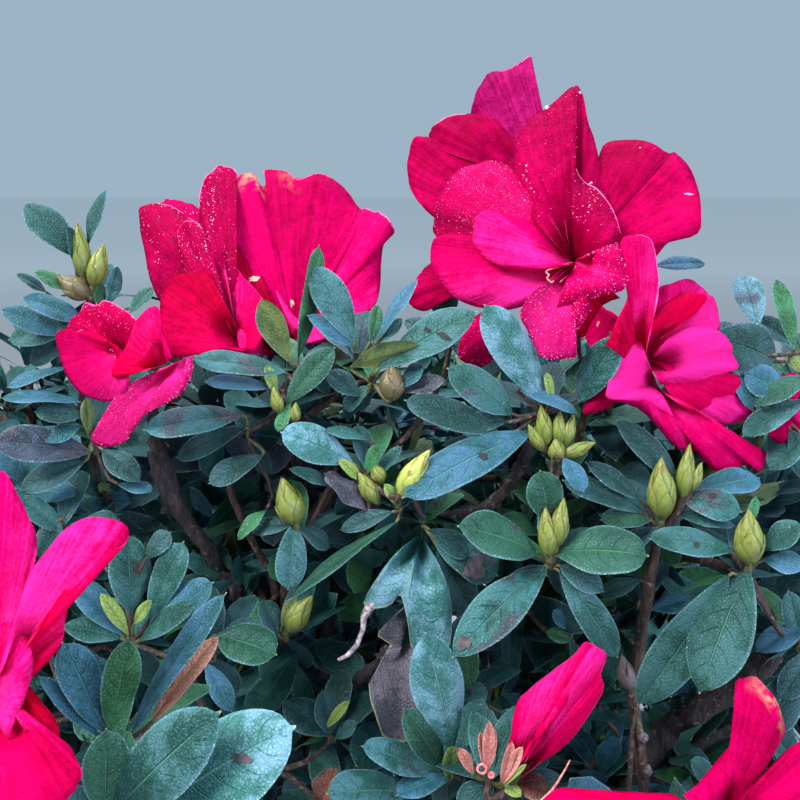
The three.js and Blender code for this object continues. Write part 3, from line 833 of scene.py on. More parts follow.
def addBud(form, foot, tip, width, tone, spin):
    uvs = form.loops.layers.uv["Leaf"]
    axis = tip - foot
    side = axis.orthogonal().normalized()
    other = axis.normalized().cross(side)
    material = list(budTones).index(tone)

    def skin(t, angle, swell):
        radius = width / 2 * (budWaist(t) * swell)
        return foot + axis * t + side * (math.cos(angle) * radius) + other * (math.sin(angle) * radius)

    body = bmesh.ops.create_uvsphere(form, u_segments=12, v_segments=8, radius=1.0)["verts"]
    for vert in body:
        t = min(max((vert.co.z + 1) / 2, 0.02), 0.985)
        vert.co = skin(t, math.atan2(vert.co.y, vert.co.x), 0.94)
    for face in facesOf(body):
        face.material_index = material
        for loop in face.loops:
            loop[uvs].uv = (0.5, 0.5)
    for scale in range(budShape["scales"]):
        level = scale / (budShape["scales"] - 1)
        turn = spin + scale * goldenAngle
        low = 0.02 + 0.3 * level
        high = min(0.5 + 0.55 * level, 1.03)
        verts = bmesh.ops.create_grid(form, x_segments=4, y_segments=5, size=1.0)["verts"]
        span = {}
        for vert in verts:
            s, q = vert.co.x, (vert.co.y + 1) / 2
            span[vert] = (s, q)
            spread = math.radians(budShape["spread"]) * max(0.06, (1 - q ** 2.2)) * s
            swell = 1.12 - 0.09 * level - 0.06 * s * s + 0.05 * q
            vert.co = skin(low + (high - low) * q, turn + spread, swell)
        for face in facesOf(verts):
            face.material_index = material
            for loop in face.loops:
                s, q = span[loop.vert]
                loop[uvs].uv = ((s + 1) / 2, low + (high - low) * q)


# Branching: twigs grow from a limb's end and fork towards the shoots, thicker where they carry more
growth = {
    "seed": 7,
    "spacing": 0.0235,
    "innerSpacing": 0.0255,
    "setIn": 0.019,
    "innerReach": 0.72,  # how far out the inner shoots stand, of the half size of a mass
    "innerTries": 420,
    "samples": 16,  # points tried on a square of one spacing
    "nextMass": 0.03,  # a face with another mass this near bears no shoots
    "undersides": 0.45,  # share of the shoots kept on undersides
    "twigRadius": 0.00085,
    "pipePower": 2.45,
    "thickest": 0.0042,
    "overlap": 0.006,  # how far a twig starts inside its limb
    "leavesPerShoot": (7, 10),
    "leavesInside": (6, 8),
    "leafLength": (0.021, 0.032),
    "leafBehind": (0.018, 0.026),
    "frontDepth": 0.268,  # shoots that the camera would see stand behind those of the photo
    "drift": 0.022,  # how far behind
    "farthest": 0.75,  # shoots past this depth stay where they are
    "margin": 60,  # pixels round the photo that count as in view
    "sprayReach": 0.022,
    "hollows": [((200, 520), 62), ((318, 640), 70), ((590, 630), 62), ((560, 720), 60), ((690, 745), 50)],
    "crownLine": 306,
}
chance = random.Random(growth["seed"])
dice = np.random.default_rng(growth["seed"])
massNames = list(bearers)


def treeOf(pieces):
    places, faces = [], []
    for piece in pieces:
        first = len(places)
        places += [vert.co.copy() for vert in piece.data.vertices]
        faces += [[first + v for v in face.vertices] for face in piece.data.polygons]
    return BVHTree.FromPolygons(places, faces)


massTree = treeOf([cadNodes[name] for name in massNames])


def surfaceSamples(mass, perArea):  # points strewn evenly over a mass, with the way its surface faces
    mesh = cadNodes[mass].data
    mesh.calc_loop_triangles()
    places = np.array([v.co[:] for v in mesh.vertices])
    triangles = np.array([t.vertices[:] for t in mesh.loop_triangles])
    a, b, c = (places[triangles[:, k]] for k in range(3))
    cross = np.cross(b - a, c - a)
    area = np.linalg.norm(cross, axis=1) / 2
    count = int(area.sum() * perArea)
    picked = dice.choice(len(area), count, p=area / area.sum())
    u, v = dice.random(count), dice.random(count)
    flip = u + v > 1
    u, v = np.where(flip, 1 - u, u), np.where(flip, 1 - v, v)
    points = a[picked] + (b - a)[picked] * u[:, None] + (c - a)[picked] * v[:, None]
    return points, unit(cross[picked])


def scatterShoots(spacing, setIn):
    taken = {}
    found = []
    for mass in massNames:
        for point, outward in zip(*surfaceSamples(mass, growth["samples"] / spacing ** 2)):
            point, outward = Vector(point), Vector(outward)
            if massTree.ray_cast(point + outward * 0.0015, outward, growth["nextMass"])[0] is not None:
                continue
            if outward.z < -0.3 and chance.random() > growth["undersides"]:
                continue
            place = point - outward * (setIn * chance.uniform(0.8, 1.25))
            cell = tuple(int(c // spacing) for c in place)
            near = [p for dx in (-1, 0, 1) for dy in (-1, 0, 1) for dz in (-1, 0, 1)
                    for p in taken.get((cell[0] + dx, cell[1] + dy, cell[2] + dz), ())]
            if any((place - p).length < spacing for p in near):
                continue
            taken.setdefault(cell, []).append(place)
            wander = noise.random_unit_vector()
            lift = 0.45 if outward.z > -0.3 else 0.1
            way = (outward * 0.75 + worldUp * lift + wander * 0.25).normalized()
            found.append({"mass": mass, "place": place, "way": way})
    return found


def keptClear(shoot):  # sets a shoot back behind those of the photo, or drops it
    x, y, depth = toPixel(shoot["place"])
    edge = halfSide + growth["margin"]
    if max(abs(x - halfSide), abs(y - halfSide)) >= edge or depth >= growth["farthest"]:
        return True
    reach = growth["sprayReach"] / pixelSize(depth)
    if y - reach < growth["crownLine"]:
        return False
    if depth < growth["frontDepth"]:
        if any(math.dist((x, y), middle) < radius for middle, radius in growth["hollows"]):
            return False
        shoot["place"] = atPixel((x, y), growth["frontDepth"] + chance.uniform(0.0, growth["drift"]))
    return True


def fillInside(spacing, reach):  # shoots in the shade within each mass
    found = []
    for mass in massNames:
        low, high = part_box(mass)
        middle, half = (low + high) / 2, (high - low) / 2
        taken = []
        for _ in range(int(growth["innerTries"] * reach)):
            offset = noise.random_unit_vector() * chance.random() ** (1 / 3) * reach
            place = middle + Vector(o * h for o, h in zip(offset, half))
            if all((place - other).length > spacing for other in taken):
                taken.append(place)
                way = (offset * 0.6 + worldUp * 0.5 + noise.random_unit_vector() * 0.5).normalized()
                found.append({"mass": mass, "place": place, "way": way})
    return found


shaded = [  # shoots in the shade behind the gaps of the photo: pixels and depth
    ((340, 625), 0.315), ((375, 650), 0.330), ((430, 640), 0.310), ((400, 700), 0.335), ((372, 720), 0.320),
    ((480, 690), 0.325), ((500, 740), 0.310), ((545, 705), 0.330), ((590, 715), 0.320), ((620, 690), 0.310),
    ((300, 760), 0.330), ((285, 790), 0.300), ((260, 700), 0.325), ((190, 690), 0.300), ((30, 345), 0.320),
    ((60, 380), 0.330), ((20, 420), 0.330), ((440, 780), 0.300), ((610, 760), 0.300), ((700, 770), 0.310),
    ((235, 770), 0.270), ((350, 790), 0.290), ((460, 740), 0.290),
]


def nearestMass(place):
    return min(massNames, key=lambda name: (place - middleOf(name)).length)


def shadedShoots():
    found = []
    for pixel, depth in shaded:
        place = atPixel(pixel, depth)
        way = (worldUp + Vector(noise.random_vector()) * 0.5).normalized()
        found.append({"mass": nearestMass(place), "place": place, "way": way})
    return found


outerShoots = [row for row in scatterShoots(growth["spacing"], growth["setIn"]) if keptClear(row)]
innerShoots = [row for row in fillInside(growth["innerSpacing"], growth["innerReach"]) if keptClear(row)]
innerShoots += shadedShoots()
print("shoots:", len(outerShoots), "outer,", len(innerShoots), "inner,", len(shoots), "from the photo")
twigTips = []  # place, direction and mass of everything that a twig has to reach
for shoot in outerShoots + innerShoots:
    twigTips.append((shoot["place"], shoot["way"], shoot["mass"]))
for shoot in shoots.values():
    shoot["place"] = atPixel(shoot["at"], shoot["depth"])
    shoot["way"] = Vector((0.1 * (shoot["place"].x > 0) - 0.05, -0.45, 0.88)).normalized()
    twigTips.append((shoot["place"], shoot["way"], nearestMass(shoot["place"])))


# Blooms that the photo shows: petals by the pixels of their rims, from the left of the claw to its right
# (near in mm, tone, dew, warm and tan may each be a list of values along the rim; a warm below 0 is violet;
# roll is the part of the rim that is rolled over, as from, to and radius in mm)
# and lighter crests; a warm below 0 gives violet, partly as painted shade
# tone holds the petal's own crimson together with painted light and shade, such as darker folds
def petal(rim, near, tone, claw=None, bulge=5, cup=0, ruffle=0.8, dew=0, warm=0, tan=0, sway=(0, 0),
          roll=None):
    return {"rim": rim, "near": near, "claw": claw, "bulge": bulge, "cup": cup, "ruffle": ruffle,
            "looks": {"tone": tone, "dew": dew, "warm": warm, "tan": tan}, "sway": sway, "roll": roll}


def bloomAt(throat, depth, turn, rise, petals):  # turn and rise: degrees of the way that it faces
    return {"throat": throat, "depth": depth, "turn": turn, "rise": rise, "petals": petals}


def alongRim(values, share):
    values = np.atleast_1d(values)
    return float(np.interp(share, np.linspace(0, 1, len(values)), values))


photoBlooms = {
    "bloom_main": bloomAt((574, 262), 0.244, -22, 34, [
        petal([(472, 128), (472, 104), (480, 85), (493, 72), (512, 68), (522, 61), (531, 57), (530, 74),
            (527, 97), (535, 112), (538, 140)], -9, [0.0, 0.2, 0.5], warm=-0.9, ruffle=1.4,
            roll=(0.3, 0.7, 0.25)),
        petal([(430, 146), (430, 132), (436, 124), (452, 116), (478, 114), (500, 122), (518, 138)], -7,
            [0.1, 0.0, 0.15], ruffle=1.2, claw=(522, 178), roll=(0.3, 0.62, 0.26)),
        petal([(442, 224), (421, 205), (409, 186), (408, 158), (415, 138), (427, 137), (450, 142), (480, 147),
            (512, 158)], [-1, -7], [0.25, 0.1, 0.0], ruffle=1.0, bulge=3),
        petal([(606, 192), (600, 155), (610, 142), (633, 139), (652, 144), (670, 154), (676, 152), (690, 170),
            (699, 192), (702, 218), (695, 235), (670, 241), (655, 258)], -3, [0.0, 0.0, 0.1, 0.25, 0.3, 0.15],
            ruffle=1.6, dew=0.1),
        petal([(560, 190), (566, 140), (573, 88), (583, 96), (588, 122), (597, 150), (605, 184), (612, 206)],
            0, [0.0, 0.1, 0.0], bulge=4, dew=0.1),
        petal([(452, 250), (436, 236), (434, 214), (442, 190), (458, 171), (480, 163), (503, 163),
            (526, 176)], 1, [0.0, 0.1, 0.7, 0.85, 0.3], dew=1.0, bulge=7),
        petal([(522, 208), (514, 165), (518, 135), (536, 116), (557, 101), (573, 88), (577, 104), (571, 130),
            (571, 150), (576, 170), (584, 182), (597, 190), (612, 209), (621, 236)], [2, 6],
            [0.3, 0.1, 0.0, 0.0, 0.1], dew=0.4, bulge=6, roll=(0.56, 1.0, 0.32)),
        petal([(452, 232), (433, 240), (430, 257), (440, 281), (459, 300), (484, 308), (510, 309), (528, 303),
            (534, 290)], 3, [0.25, 0.5, 1.0, 1.2, 0.8], bulge=6, dew=0.2),
        petal([(530, 200), (508, 203), (490, 208), (478, 216), (473, 232), (475, 245), (484, 257), (502, 267),
            (522, 271), (542, 268), (556, 264)], [-1, 7, 10, 10, 9], [0.3, 0.9, 0.9, 0.4], bulge=4),
        petal([(532, 294), (520, 314), (530, 335), (540, 356), (556, 359), (576, 357), (571, 340), (582, 324),
            (592, 308)], 6, [0.5, 1.1, 0.8, 0.3], warm=[-0.6, -0.3, 0], dew=1.0),
        petal([(556, 308), (580, 303), (600, 296), (621, 291), (628, 280), (624, 262), (618, 244), (604, 248),
            (590, 256)], 8, [0.6, 0.8, 0.3], dew=0.8, ruffle=1.2),
        petal([(575, 330), (582, 338), (590, 325), (597, 312), (606, 303), (620, 298)], 1, 0.1, warm=0.8),
        petal([(446, 284), (430, 309), (414, 308), (409, 297), (419, 275), (432, 262)], -6, 0.1,
            claw=(500, 268)),
        petal([(474, 318), (460, 341), (459, 356), (467, 364), (480, 367), (493, 359), (498, 340)], -5, 0.4,
            claw=(510, 296), dew=0.4)]),
    "bloom_right": bloomAt((650, 362), 0.243, 30, 15, [
        petal([(606, 372), (590, 396), (583, 413), (600, 411), (618, 402), (634, 402)], -3, 0.1),
        petal([(648, 322), (657, 290), (672, 283), (688, 279), (701, 286), (708, 293), (714, 299), (719, 316),
            (718, 335), (700, 352)], -3, [0.5, 1.0, 1.4], bulge=4, ruffle=1.6),
        petal([(650, 326), (664, 306), (684, 294), (702, 294), (706, 302), (690, 318), (668, 332)], 1, 0.5,
            warm=0.8, bulge=3, claw=(648, 345)),
        petal([(700, 406), (735, 398), (751, 401), (755, 412), (747, 420), (724, 424), (700, 420)], 0, 1.1),
        petal([(680, 378), (715, 377), (737, 375), (746, 386), (740, 395), (722, 403), (706, 410),
            (682, 411)], 2, 0.6, warm=0.4, bulge=6),
        petal([(668, 338), (692, 327), (718, 331), (731, 343), (732, 352), (738, 366), (727, 373), (705, 379),
            (680, 385), (660, 384)], 5, [1.2, 1.5, 1.3, 0.8], ruffle=1.2),
        petal([(612, 400), (640, 409), (660, 430), (678, 449), (697, 452), (712, 469), (727, 473), (745, 464),
            (760, 471), (764, 461), (767, 453), (758, 453), (740, 437), (724, 427), (712, 418), (688, 411)],
            4, [0.8, 0.6, 0.9], warm=[0.2, 0.2, 0.7], claw=(650, 384), bulge=6, ruffle=1.4, dew=0.15),
        petal([(642, 344), (632, 341), (622, 346), (615, 362), (608, 384), (607, 398), (625, 400), (648, 404),
            (674, 417)], 8, [1.4, 1.3, 1.2], claw=(656, 382), warm=0.3, bulge=2),
        petal([(606, 345), (618, 318), (629, 292), (623, 265), (621, 240), (635, 235), (650, 240), (656, 262),
            (658, 290), (652, 325)], 9, [0.1, 0.3, 0.9, 0.8], claw=(640, 366), warm=[0.6, 0.0], bulge=3,
            cup=4, dew=0.2, roll=(0.55, 1.0, 0.3))]),
    "bloom_fan": bloomAt((294, 338), 0.262, 4, 45, [
        petal([(262, 300), (255, 262), (240, 238), (222, 223), (221, 206), (228, 190), (240, 176), (254, 174),
            (258, 182), (262, 187), (267, 182), (264, 170), (280, 169), (290, 174), (299, 181), (318, 174),
            (332, 179), (348, 194), (356, 206), (364, 216), (362, 232), (342, 262)], 0,
            [0.3, 0.5, 0.4, 0.3, 0.1, 0.35, 0.4], bulge=2, ruffle=2.2, roll=(0.36, 0.8, 0.2), tan=[0, 0, 0, 0,
            0, 0, 0, 0.3, 1, 1, 1, 0.2, 0, 0, 0, 0.4, 0.2, 0, 0, 0, 0, 0, 0, 0, 0, 0]),
        petal([(332, 270), (352, 243), (358, 220), (364, 208), (374, 213), (380, 212), (387, 219), (395, 231),
            (384, 243), (381, 262), (380, 290), (374, 307), (350, 327)], 4, [0.3, 0.7, 0.5, 0.9], bulge=4,
            cup=-2, ruffle=1.8, roll=(0.25, 0.62, 0.32)),
        petal([(276, 290), (296, 318), (312, 322), (331, 335), (325, 342), (305, 345)], 2, 1.1),
        petal([(236, 345), (220, 300), (214, 262), (217, 234), (225, 222), (240, 238), (258, 262),
            (270, 292)], -3, 0.0, warm=0.5, claw=(276, 348)),
        petal([(240, 352), (232, 310), (222, 278), (217, 258), (224, 262), (246, 280), (264, 300),
            (280, 330)], 1, [0.9, 1.2, 0.8], claw=(272, 354))]),
    "bloom_left": bloomAt((236, 348), 0.258, -30, 45, [
        petal([(164, 240), (160, 206), (172, 200), (188, 203), (199, 210), (204, 235)], -3, 0.4),
        petal([(166, 312), (152, 285), (144, 250), (140, 222), (141, 206), (158, 204), (172, 207), (188, 217),
            (200, 228), (206, 250), (204, 275)], 1, [0.2, 0.1, 0.0], warm=0.2, dew=0.5, ruffle=1.6,
            roll=(0.42, 0.92, 0.26)),
        petal([(203, 262), (200, 222), (200, 195), (205, 178), (215, 169), (226, 165), (236, 172), (234, 184),
            (224, 202), (220, 222), (222, 250)], 4, [0.0, 0.15, -0.1], warm=0.1, dew=0.6, cup=2, ruffle=1.6,
            roll=(0.1, 0.75, 0.26)),
        petal([(186, 278), (178, 240), (182, 223), (195, 222), (203, 230), (209, 240), (206, 256),
            (206, 276)], 7, 0.15, warm=0.2, dew=0.6, ruffle=1.4, roll=(0.15, 0.85, 0.26)),
        petal([(208, 335), (206, 290), (212, 262), (218, 248), (232, 262), (250, 285), (262, 300), (266, 325),
            (258, 350)], 5, [0.4, 0.8, 0.3], warm=0.4, bulge=2),
        petal([(208, 270), (182, 274), (166, 284), (160, 305), (160, 335), (172, 357), (190, 352), (215, 348),
            (240, 352)], 10, [0.0, 0.2, 0.2], warm=[0.6, 0.4, 0.3], claw=(246, 346), bulge=4)]),
    "bloom_drooping": bloomAt((126, 350), 0.242, -50, 5, [
        petal([(64, 332), (72, 319), (81, 311), (86, 303), (97, 306), (104, 301), (113, 304), (134, 318),
            (134, 334)], -3, 0.25, warm=0.3, ruffle=1.4, dew=0.4, roll=(0.2, 0.9, 0.3)),
        petal([(70, 348), (74, 334), (90, 330), (104, 338), (113, 350), (120, 366)], 0, 0.3, warm=0.5,
            ruffle=1.4, claw=(130, 356), roll=(0.1, 0.9, 0.28)),
        petal([(86, 336), (66, 329), (56, 337), (60, 356), (68, 377), (82, 394), (102, 401), (122, 398),
            (130, 384)], [0, 4], [0.2, 0.5, 1.1], warm=[0, -0.2, -0.6]),
        petal([(192, 356), (191, 376), (178, 396), (150, 412), (128, 424), (127, 440), (108, 447), (91, 441),
            (98, 425), (112, 402), (128, 385), (150, 376)], 4, 1.1, claw=(182, 360), warm=-0.2, dew=1.0,
            bulge=2),
        petal([(172, 357), (162, 330), (158, 307), (148, 309), (136, 321), (127, 345), (113, 368), (115, 377),
            (136, 373)], 8, [0.6, 0.8, 0.3], claw=(164, 364), warm=[0.1, 0.9], bulge=3)]),
    "bloom_fore": bloomAt((-6, 690), 0.166, -10, 45, [
        petal([(-62, 560), (-30, 490), (0, 470), (19, 498), (34, 530), (36, 556), (26, 600), (14, 640)], 0,
            [0.5, 1.1], ruffle=1.4),
        petal([(74, 560), (72, 578), (69, 597), (65, 620), (62, 642), (46, 663), (33, 676), (20, 690)], 1,
            [0.5, 0.9, 0.1], warm=0.8, bulge=3),
        petal([(14, 640), (27, 583), (44, 555), (68, 528), (100, 516), (126, 526), (126, 543), (108, 551),
            (86, 560), (76, 578)], 6, [1.2, 0.9, 0.3], warm=[0, 0.3, 1], ruffle=1.4),
        petal([(-10, 760), (30, 765), (58, 742), (56, 722), (44, 705), (30, 688)], 0, 0.1, warm=0.9),
        petal([(-10, 640), (4, 622), (20, 628), (30, 646), (33, 668), (24, 700), (14, 722), (8, 740)], 6,
            [0.7, 1.1], bulge=3, claw=(-12, 704)),
        petal([(-50, 800), (-30, 826), (20, 830), (62, 804), (74, 790), (82, 774), (76, 760), (65, 743),
            (30, 738)], 5, [0.7, 0.3, 0.8], warm=0.4, bulge=4, ruffle=1.6)]),
    "bloom_low": bloomAt((708, 838), 0.196, 14, 30, [
        petal([(683, 795), (698, 784), (717, 761), (735, 741), (745, 722), (742, 706), (738, 694), (735, 682),
            (744, 678), (757, 677), (770, 692), (780, 710), (785, 729), (780, 739), (767, 752), (755, 774),
            (740, 800)], [3, 3, 6, 5, 3], [0.45, 0.1, 0.3, 0.1, 0.2], warm=[0, 0.3], bulge=4, cup=2,
            ruffle=1.4, sway=(6, 0), tan=[0, 0, 0, 0, 0, 0, 0, 0, 0, 0.5, 1, 0.9, 0, 0, 0, 0, 0]),
        petal([(744, 812), (762, 778), (783, 754), (800, 742), (818, 740), (828, 770), (800, 815)], 5,
            [0.0, 0.6], warm=0.3),
        petal([(684, 815), (676, 796), (640, 793), (590, 790), (560, 789), (540, 806), (560, 840),
            (640, 860)], 5, [0.2, 0.6], warm=0.5),
        petal([(640, 860), (600, 900), (640, 940), (700, 940), (720, 880)], 4, 0.6),
        petal([(730, 860), (760, 920), (810, 900), (830, 840), (790, 810)], 2, 0.6)]),
    "bloom_edge": bloomAt((812, 410), 0.268, 50, 20, [
        petal([(772, 398), (764, 388), (776, 379), (792, 373), (808, 371), (820, 380)], 0, 0.5),
        petal([(818, 384), (832, 380), (846, 394), (846, 410), (836, 420)], -2, 0.4),
        petal([(836, 418), (838, 436), (824, 450), (806, 448), (800, 436)], 0, 0.3),
        petal([(790, 390), (770, 405), (767, 420), (768, 434), (776, 441), (790, 446), (804, 444),
            (812, 434)], 3, [0.5, 0.05, 0.3]),
        petal([(796, 396), (790, 404), (792, 420), (806, 424), (816, 414)], 6, 0.9)]),
}
plainBlooms = {  # blooms that the photo hides: foot in mm, the way they face, and their size in mm
    "bloom_top": {"foot": (-52, 4, 372), "turn": -170, "rise": 58, "radius": 35, "depth": 22},
    "bloom_side_right": {"foot": (226, -30, 262), "turn": 80, "rise": 30, "radius": 36, "depth": 24},
    "bloom_side_left": {"foot": (-224, -36, 274), "turn": -84, "rise": 32, "radius": 36, "depth": 24},
    "bloom_back_left": {"foot": (-128, 146, 326), "turn": -150, "rise": 46, "radius": 37, "depth": 24},
    "bloom_back_right": {"foot": (122, 152, 318), "turn": 156, "rise": 44, "radius": 36, "depth": 24},
    "bloom_back": {"foot": (0, 202, 244), "turn": 178, "rise": 26, "radius": 35, "depth": 22},
    "bloom_low_left": {"foot": (-158, -196, 216), "turn": -40, "rise": 26, "radius": 34, "depth": 24},
}


def facingWay(turn, rise):
    turn, rise = math.radians(turn), math.radians(rise)
    return Vector((math.sin(turn) * math.cos(rise), -math.cos(turn) * math.cos(rise), math.sin(rise)))


# deep, bright and light: the petal's crimson from painted shade to painted highlight;
# the warm and violet pairs likewise
petalLook = {
    "deep": (0.25, 0.0, 0.034),
    "bright": (0.66, 0.0002, 0.122),
    "light": (0.98, 0.024, 0.35),
    "warmDeep": (0.36, 0.0, 0.012),
    "warmBright": (0.80, 0.0, 0.060),
    "violetDeep": (0.20, 0.0, 0.060),
    "violetBright": (0.56, 0.014, 0.215),
    "dew": (1.0, 0.07, 0.46),
    "tan": (0.62, 0.34, 0.20),
    "through": (0.86, 0.0, 0.13),
    "seeThrough": 0.34,
    "thickness": 0.00028,
}


def petalFinish(name, edge=False):
    look = Finish(name)
    across, along = look.mapped("Petal")
    place = look.place()
    tone, dew, warm, tan = (look.node("ShaderNodeAttribute", {"attribute_name": kind}, out="Fac")
                            for kind in petalKinds)
    streakMap = look.node("ShaderNodeCombineXYZ", None, {0: across * 46, 1: along * 2.2, 2: tone * 4})
    streak = look.grain(streakMap, 1.0, 4, 0.6)
    crinkle = look.grain(place, 240, 4, 0.6)
    fine = look.grain(place, 1300, 2)
    flare = (1 - abs(across * 2 - 1).fade(0.02, 0.3)) * (1 - along.fade(0.15, 0.7))
    shade = tone + (streak - 0.5) * 0.9 + (crinkle - 0.5) * 0.65 + (fine - 0.5) * 0.5 + flare * 0.5
    hot, cool = warm.fade(0.0, 1.0), (0 - warm).fade(0.0, 1.0)
    deep = look.mix(hot, colour(*petalLook["deep"]), colour(*petalLook["warmDeep"]))
    deep = look.mix(cool, deep, colour(*petalLook["violetDeep"]))
    bright = look.mix(hot, colour(*petalLook["bright"]), colour(*petalLook["warmBright"]))
    bright = look.mix(cool, bright, colour(*petalLook["violetBright"]))
    base = look.mix(shade.fade(-0.15, 0.65), deep, bright)
    base = look.mix(shade.fade(0.6, 1.3), base, colour(*petalLook["light"]))
    cell = look.node("ShaderNodeTexVoronoi", {"feature": "F1"}, {"Vector": place, "Scale": 1500.0})
    wet = (look.grain(place, 150, 2) * 0.5 + along + dew * 0.35).fade(0.95, 1.25) * dew
    bead = (1 - cell.fade(0.08, 0.42)) * wet
    base = look.mix((wet - bead) * 0.4, base, deep)
    # of the petals get the same pink as a painted highlight
    # the beads of dew are painted lighter pink, as painted glints on the water, and the cut edges
    base = look.mix(bead * 0.45 + (0.4 if edge else 0.0), base, colour(*petalLook["dew"]))
    dried = (along + (crinkle - 0.5) * 0.12).fade(0.88, 0.95) * tan
    base = look.mix(dried, base, look.mix(crinkle.fade(0.4, 0.6), colour(*petalLook["tan"]), bright))
    height = streak * 0.9 + crinkle * 1.8 + fine * 0.4 + bead
    normal = look.bump(height, 0.0005, 0.9)
    gloss = look.paint({"Base Color": base, "Roughness": 0.6, "Normal": normal, "Specular IOR Level": 0.01,
                        "Coat Weight": bead * 0.25, "Coat Roughness": 0.2})
    through = {"Color": colour(*petalLook["through"]), "Normal": normal}
    glow = look.node("ShaderNodeBsdfTranslucent", None, through)
    blend = {0: petalLook["seeThrough"], 1: gloss, 2: glow}
    return look.finish(look.node("ShaderNodeMixShader", None, blend))


petalKinds = ("tone", "dew", "warm", "tan")
# the second finish, on the petals' cut edges, carries the painted highlight
petalFinishes = [petalFinish("petal"), petalFinish("petalEdgeHighlight", edge=True)]


def plainFinish(name, low, high, scale, roughness):
    look = Finish(name)
    grain = look.grain(look.place(), scale, 3)
    base = look.mix(grain.fade(0.35, 0.65), colour(*low), colour(*high))
    return look.finish(look.paint({"Base Color": base, "Roughness": roughness + grain * 0.15,
                                   "Normal": look.bump(grain, 0.0003, 0.5)}))


stalkGreen = plainFinish("stalkGreen", (0.045, 0.065, 0.022), (0.12, 0.11, 0.045), 700, 0.5)
stamenPink = plainFinish("stamenPink", (0.80, 0.10, 0.16), (0.95, 0.36, 0.30), 900, 0.4)
tubeRed = plainFinish("tubeRed", (0.30, 0.004, 0.03), (0.60, 0.01, 0.09), 300, 0.6)


def petalSheet(form, place, looks, acrossFaces=34, alongFaces=18, material=0):
    uvs = form.loops.layers.uv.active
    verts = bmesh.ops.create_grid(form, x_segments=acrossFaces, y_segments=alongFaces, size=1.0)["verts"]
    span = {}
    for vert in verts:
        a, v = (vert.co.x + 1) / 2, (vert.co.y + 1) / 2
        span[vert] = (a, v)
        vert.co = place(a, v)
        for kind, values in looks.items():
            vert[form.verts.layers.float[kind]] = alongRim(values, a)
    for face in facesOf(verts):
        face.material_index = material
        for loop in face.loops:
            loop[uvs].uv = span[loop.vert]


def newPetalForm():
    form = bmesh.new()
    form.loops.layers.uv.new("Petal")
    for kind in petalKinds:
        form.verts.layers.float.new(kind)
    return form


petalShape = {
    "funnel": 9,  # mm that the throat lies back
    "crumple": 1.1,  # mm that a blade buckles
    "nibble": 0.016,  # share of its reach that a rim wavers
}


def photoPetalPlace(row, bloom, phase):
    facing = facingWay(bloom["turn"], bloom["rise"])
    lean = Vector((facing.dot(rightward), facing.dot(upward), facing.dot(ahead)))
    scale = pixelSize(bloom["depth"])
    throat = bloom["throat"]
    clawPixel = row["claw"] or throat
    rimLine = splinePoints(row["rim"], 80)
    steps = np.linspace(0, 1, len(rimLine))
    rimX = [p[0] for p in rimLine]
    rimY = [p[1] for p in rimLine]
    width = math.hypot(rimX[-1] - rimX[0], rimY[-1] - rimY[0]) or 1
    clawWay = ((rimX[-1] - rimX[0]) / width, (rimY[-1] - rimY[0]) / width)

    def place(a, v):
        rim = (np.interp(a, steps, rimX), np.interp(a, steps, rimY))
        spread = (a - 0.5) * 6
        foot = (clawPixel[0] + clawWay[0] * spread, clawPixel[1] + clawWay[1] * spread)
        nibble = petalShape["nibble"] * noise.noise(Vector((a * 13 + phase, phase, 0)))
        reach = v * (1 + nibble * v ** 4)
        arch = 4 * v * (1 - v)
        x = foot[0] + (rim[0] - foot[0]) * reach + row["sway"][0] * arch
        y = foot[1] + (rim[1] - foot[1]) * reach + row["sway"][1] * arch
        away = (lean.x * (x - throat[0]) + lean.y * (throat[1] - y)) * scale / -lean.z  # the bloom's plane
        near = alongRim(row["near"], a)
        nearer = near * min(1.0, v * 2.5) + row["bulge"] * arch + row["cup"] * (2 * a - 1) ** 2 * v
        ripple = math.sin(a * 15 + phase) + 0.6 * math.sin(a * 31 + phase * 2.3 + v * 3)
        nearer += row["ruffle"] * ripple * v ** 2.5 - petalShape["funnel"] * (1 - v) ** 2.2
        nearer += petalShape["crumple"] * noise.noise(Vector((x, y, phase * 40)) * 0.035) * min(1.0, v * 2)
        return atPixel((x, y), bloom["depth"] + away - nearer * mm)

    return place


def plainPetalPlace(foot, facing, radius, depth, angle, halfAngle, reach, rise, phase):
    side = facing.orthogonal().normalized()
    other = facing.cross(side)

    def place(a, v):
        middle = 2 * a - 1
        spread = angle + middle * halfAngle * (0.35 + 0.65 * v ** 0.6)
        rounding = 1 - 0.30 * abs(middle) ** 2.4
        out = radius * reach * (0.05 + 0.95 * v ** 1.15) * (1 - (1 - rounding) * v)
        ripple = math.sin(middle * 7 + phase) + 0.5 * math.sin(middle * 15 + phase * 1.9)
        height = depth * (1 - (1 - v) ** 1.7) * rise + 0.0022 * ripple * v ** 2.5 + 0.003 * middle ** 2 * v
        return foot + (side * math.cos(spread) + other * math.sin(spread)) * out + facing * height

    return place


stalkSize = {"tube": 0.012, "drop": 0.015, "back": 0.004, "foot": 0.0011, "top": 0.0018, "throat": 0.0030}


def stalkStrands(throat, facing):  # the stalk of a bloom and the tube behind its throat
    foot = throat - facing * stalkSize["tube"]
    below = foot - facing * stalkSize["back"] - worldUp * stalkSize["drop"]
    stalk = (bentLine(below, worldUp, foot, facing, 6), np.linspace(stalkSize["foot"], stalkSize["top"], 7))
    tube = (bentLine(foot, facing, throat, facing, 6), np.linspace(stalkSize["top"], stalkSize["throat"], 7))
    return stalk, tube


stamens = {"count": 6, "length": 0.024, "thread": 0.00028, "head": (0.0006, 0.0005)}
seeds = {"photoBlooms": 300, "plainBlooms": 100, "stamens": 50, "crests": 29}


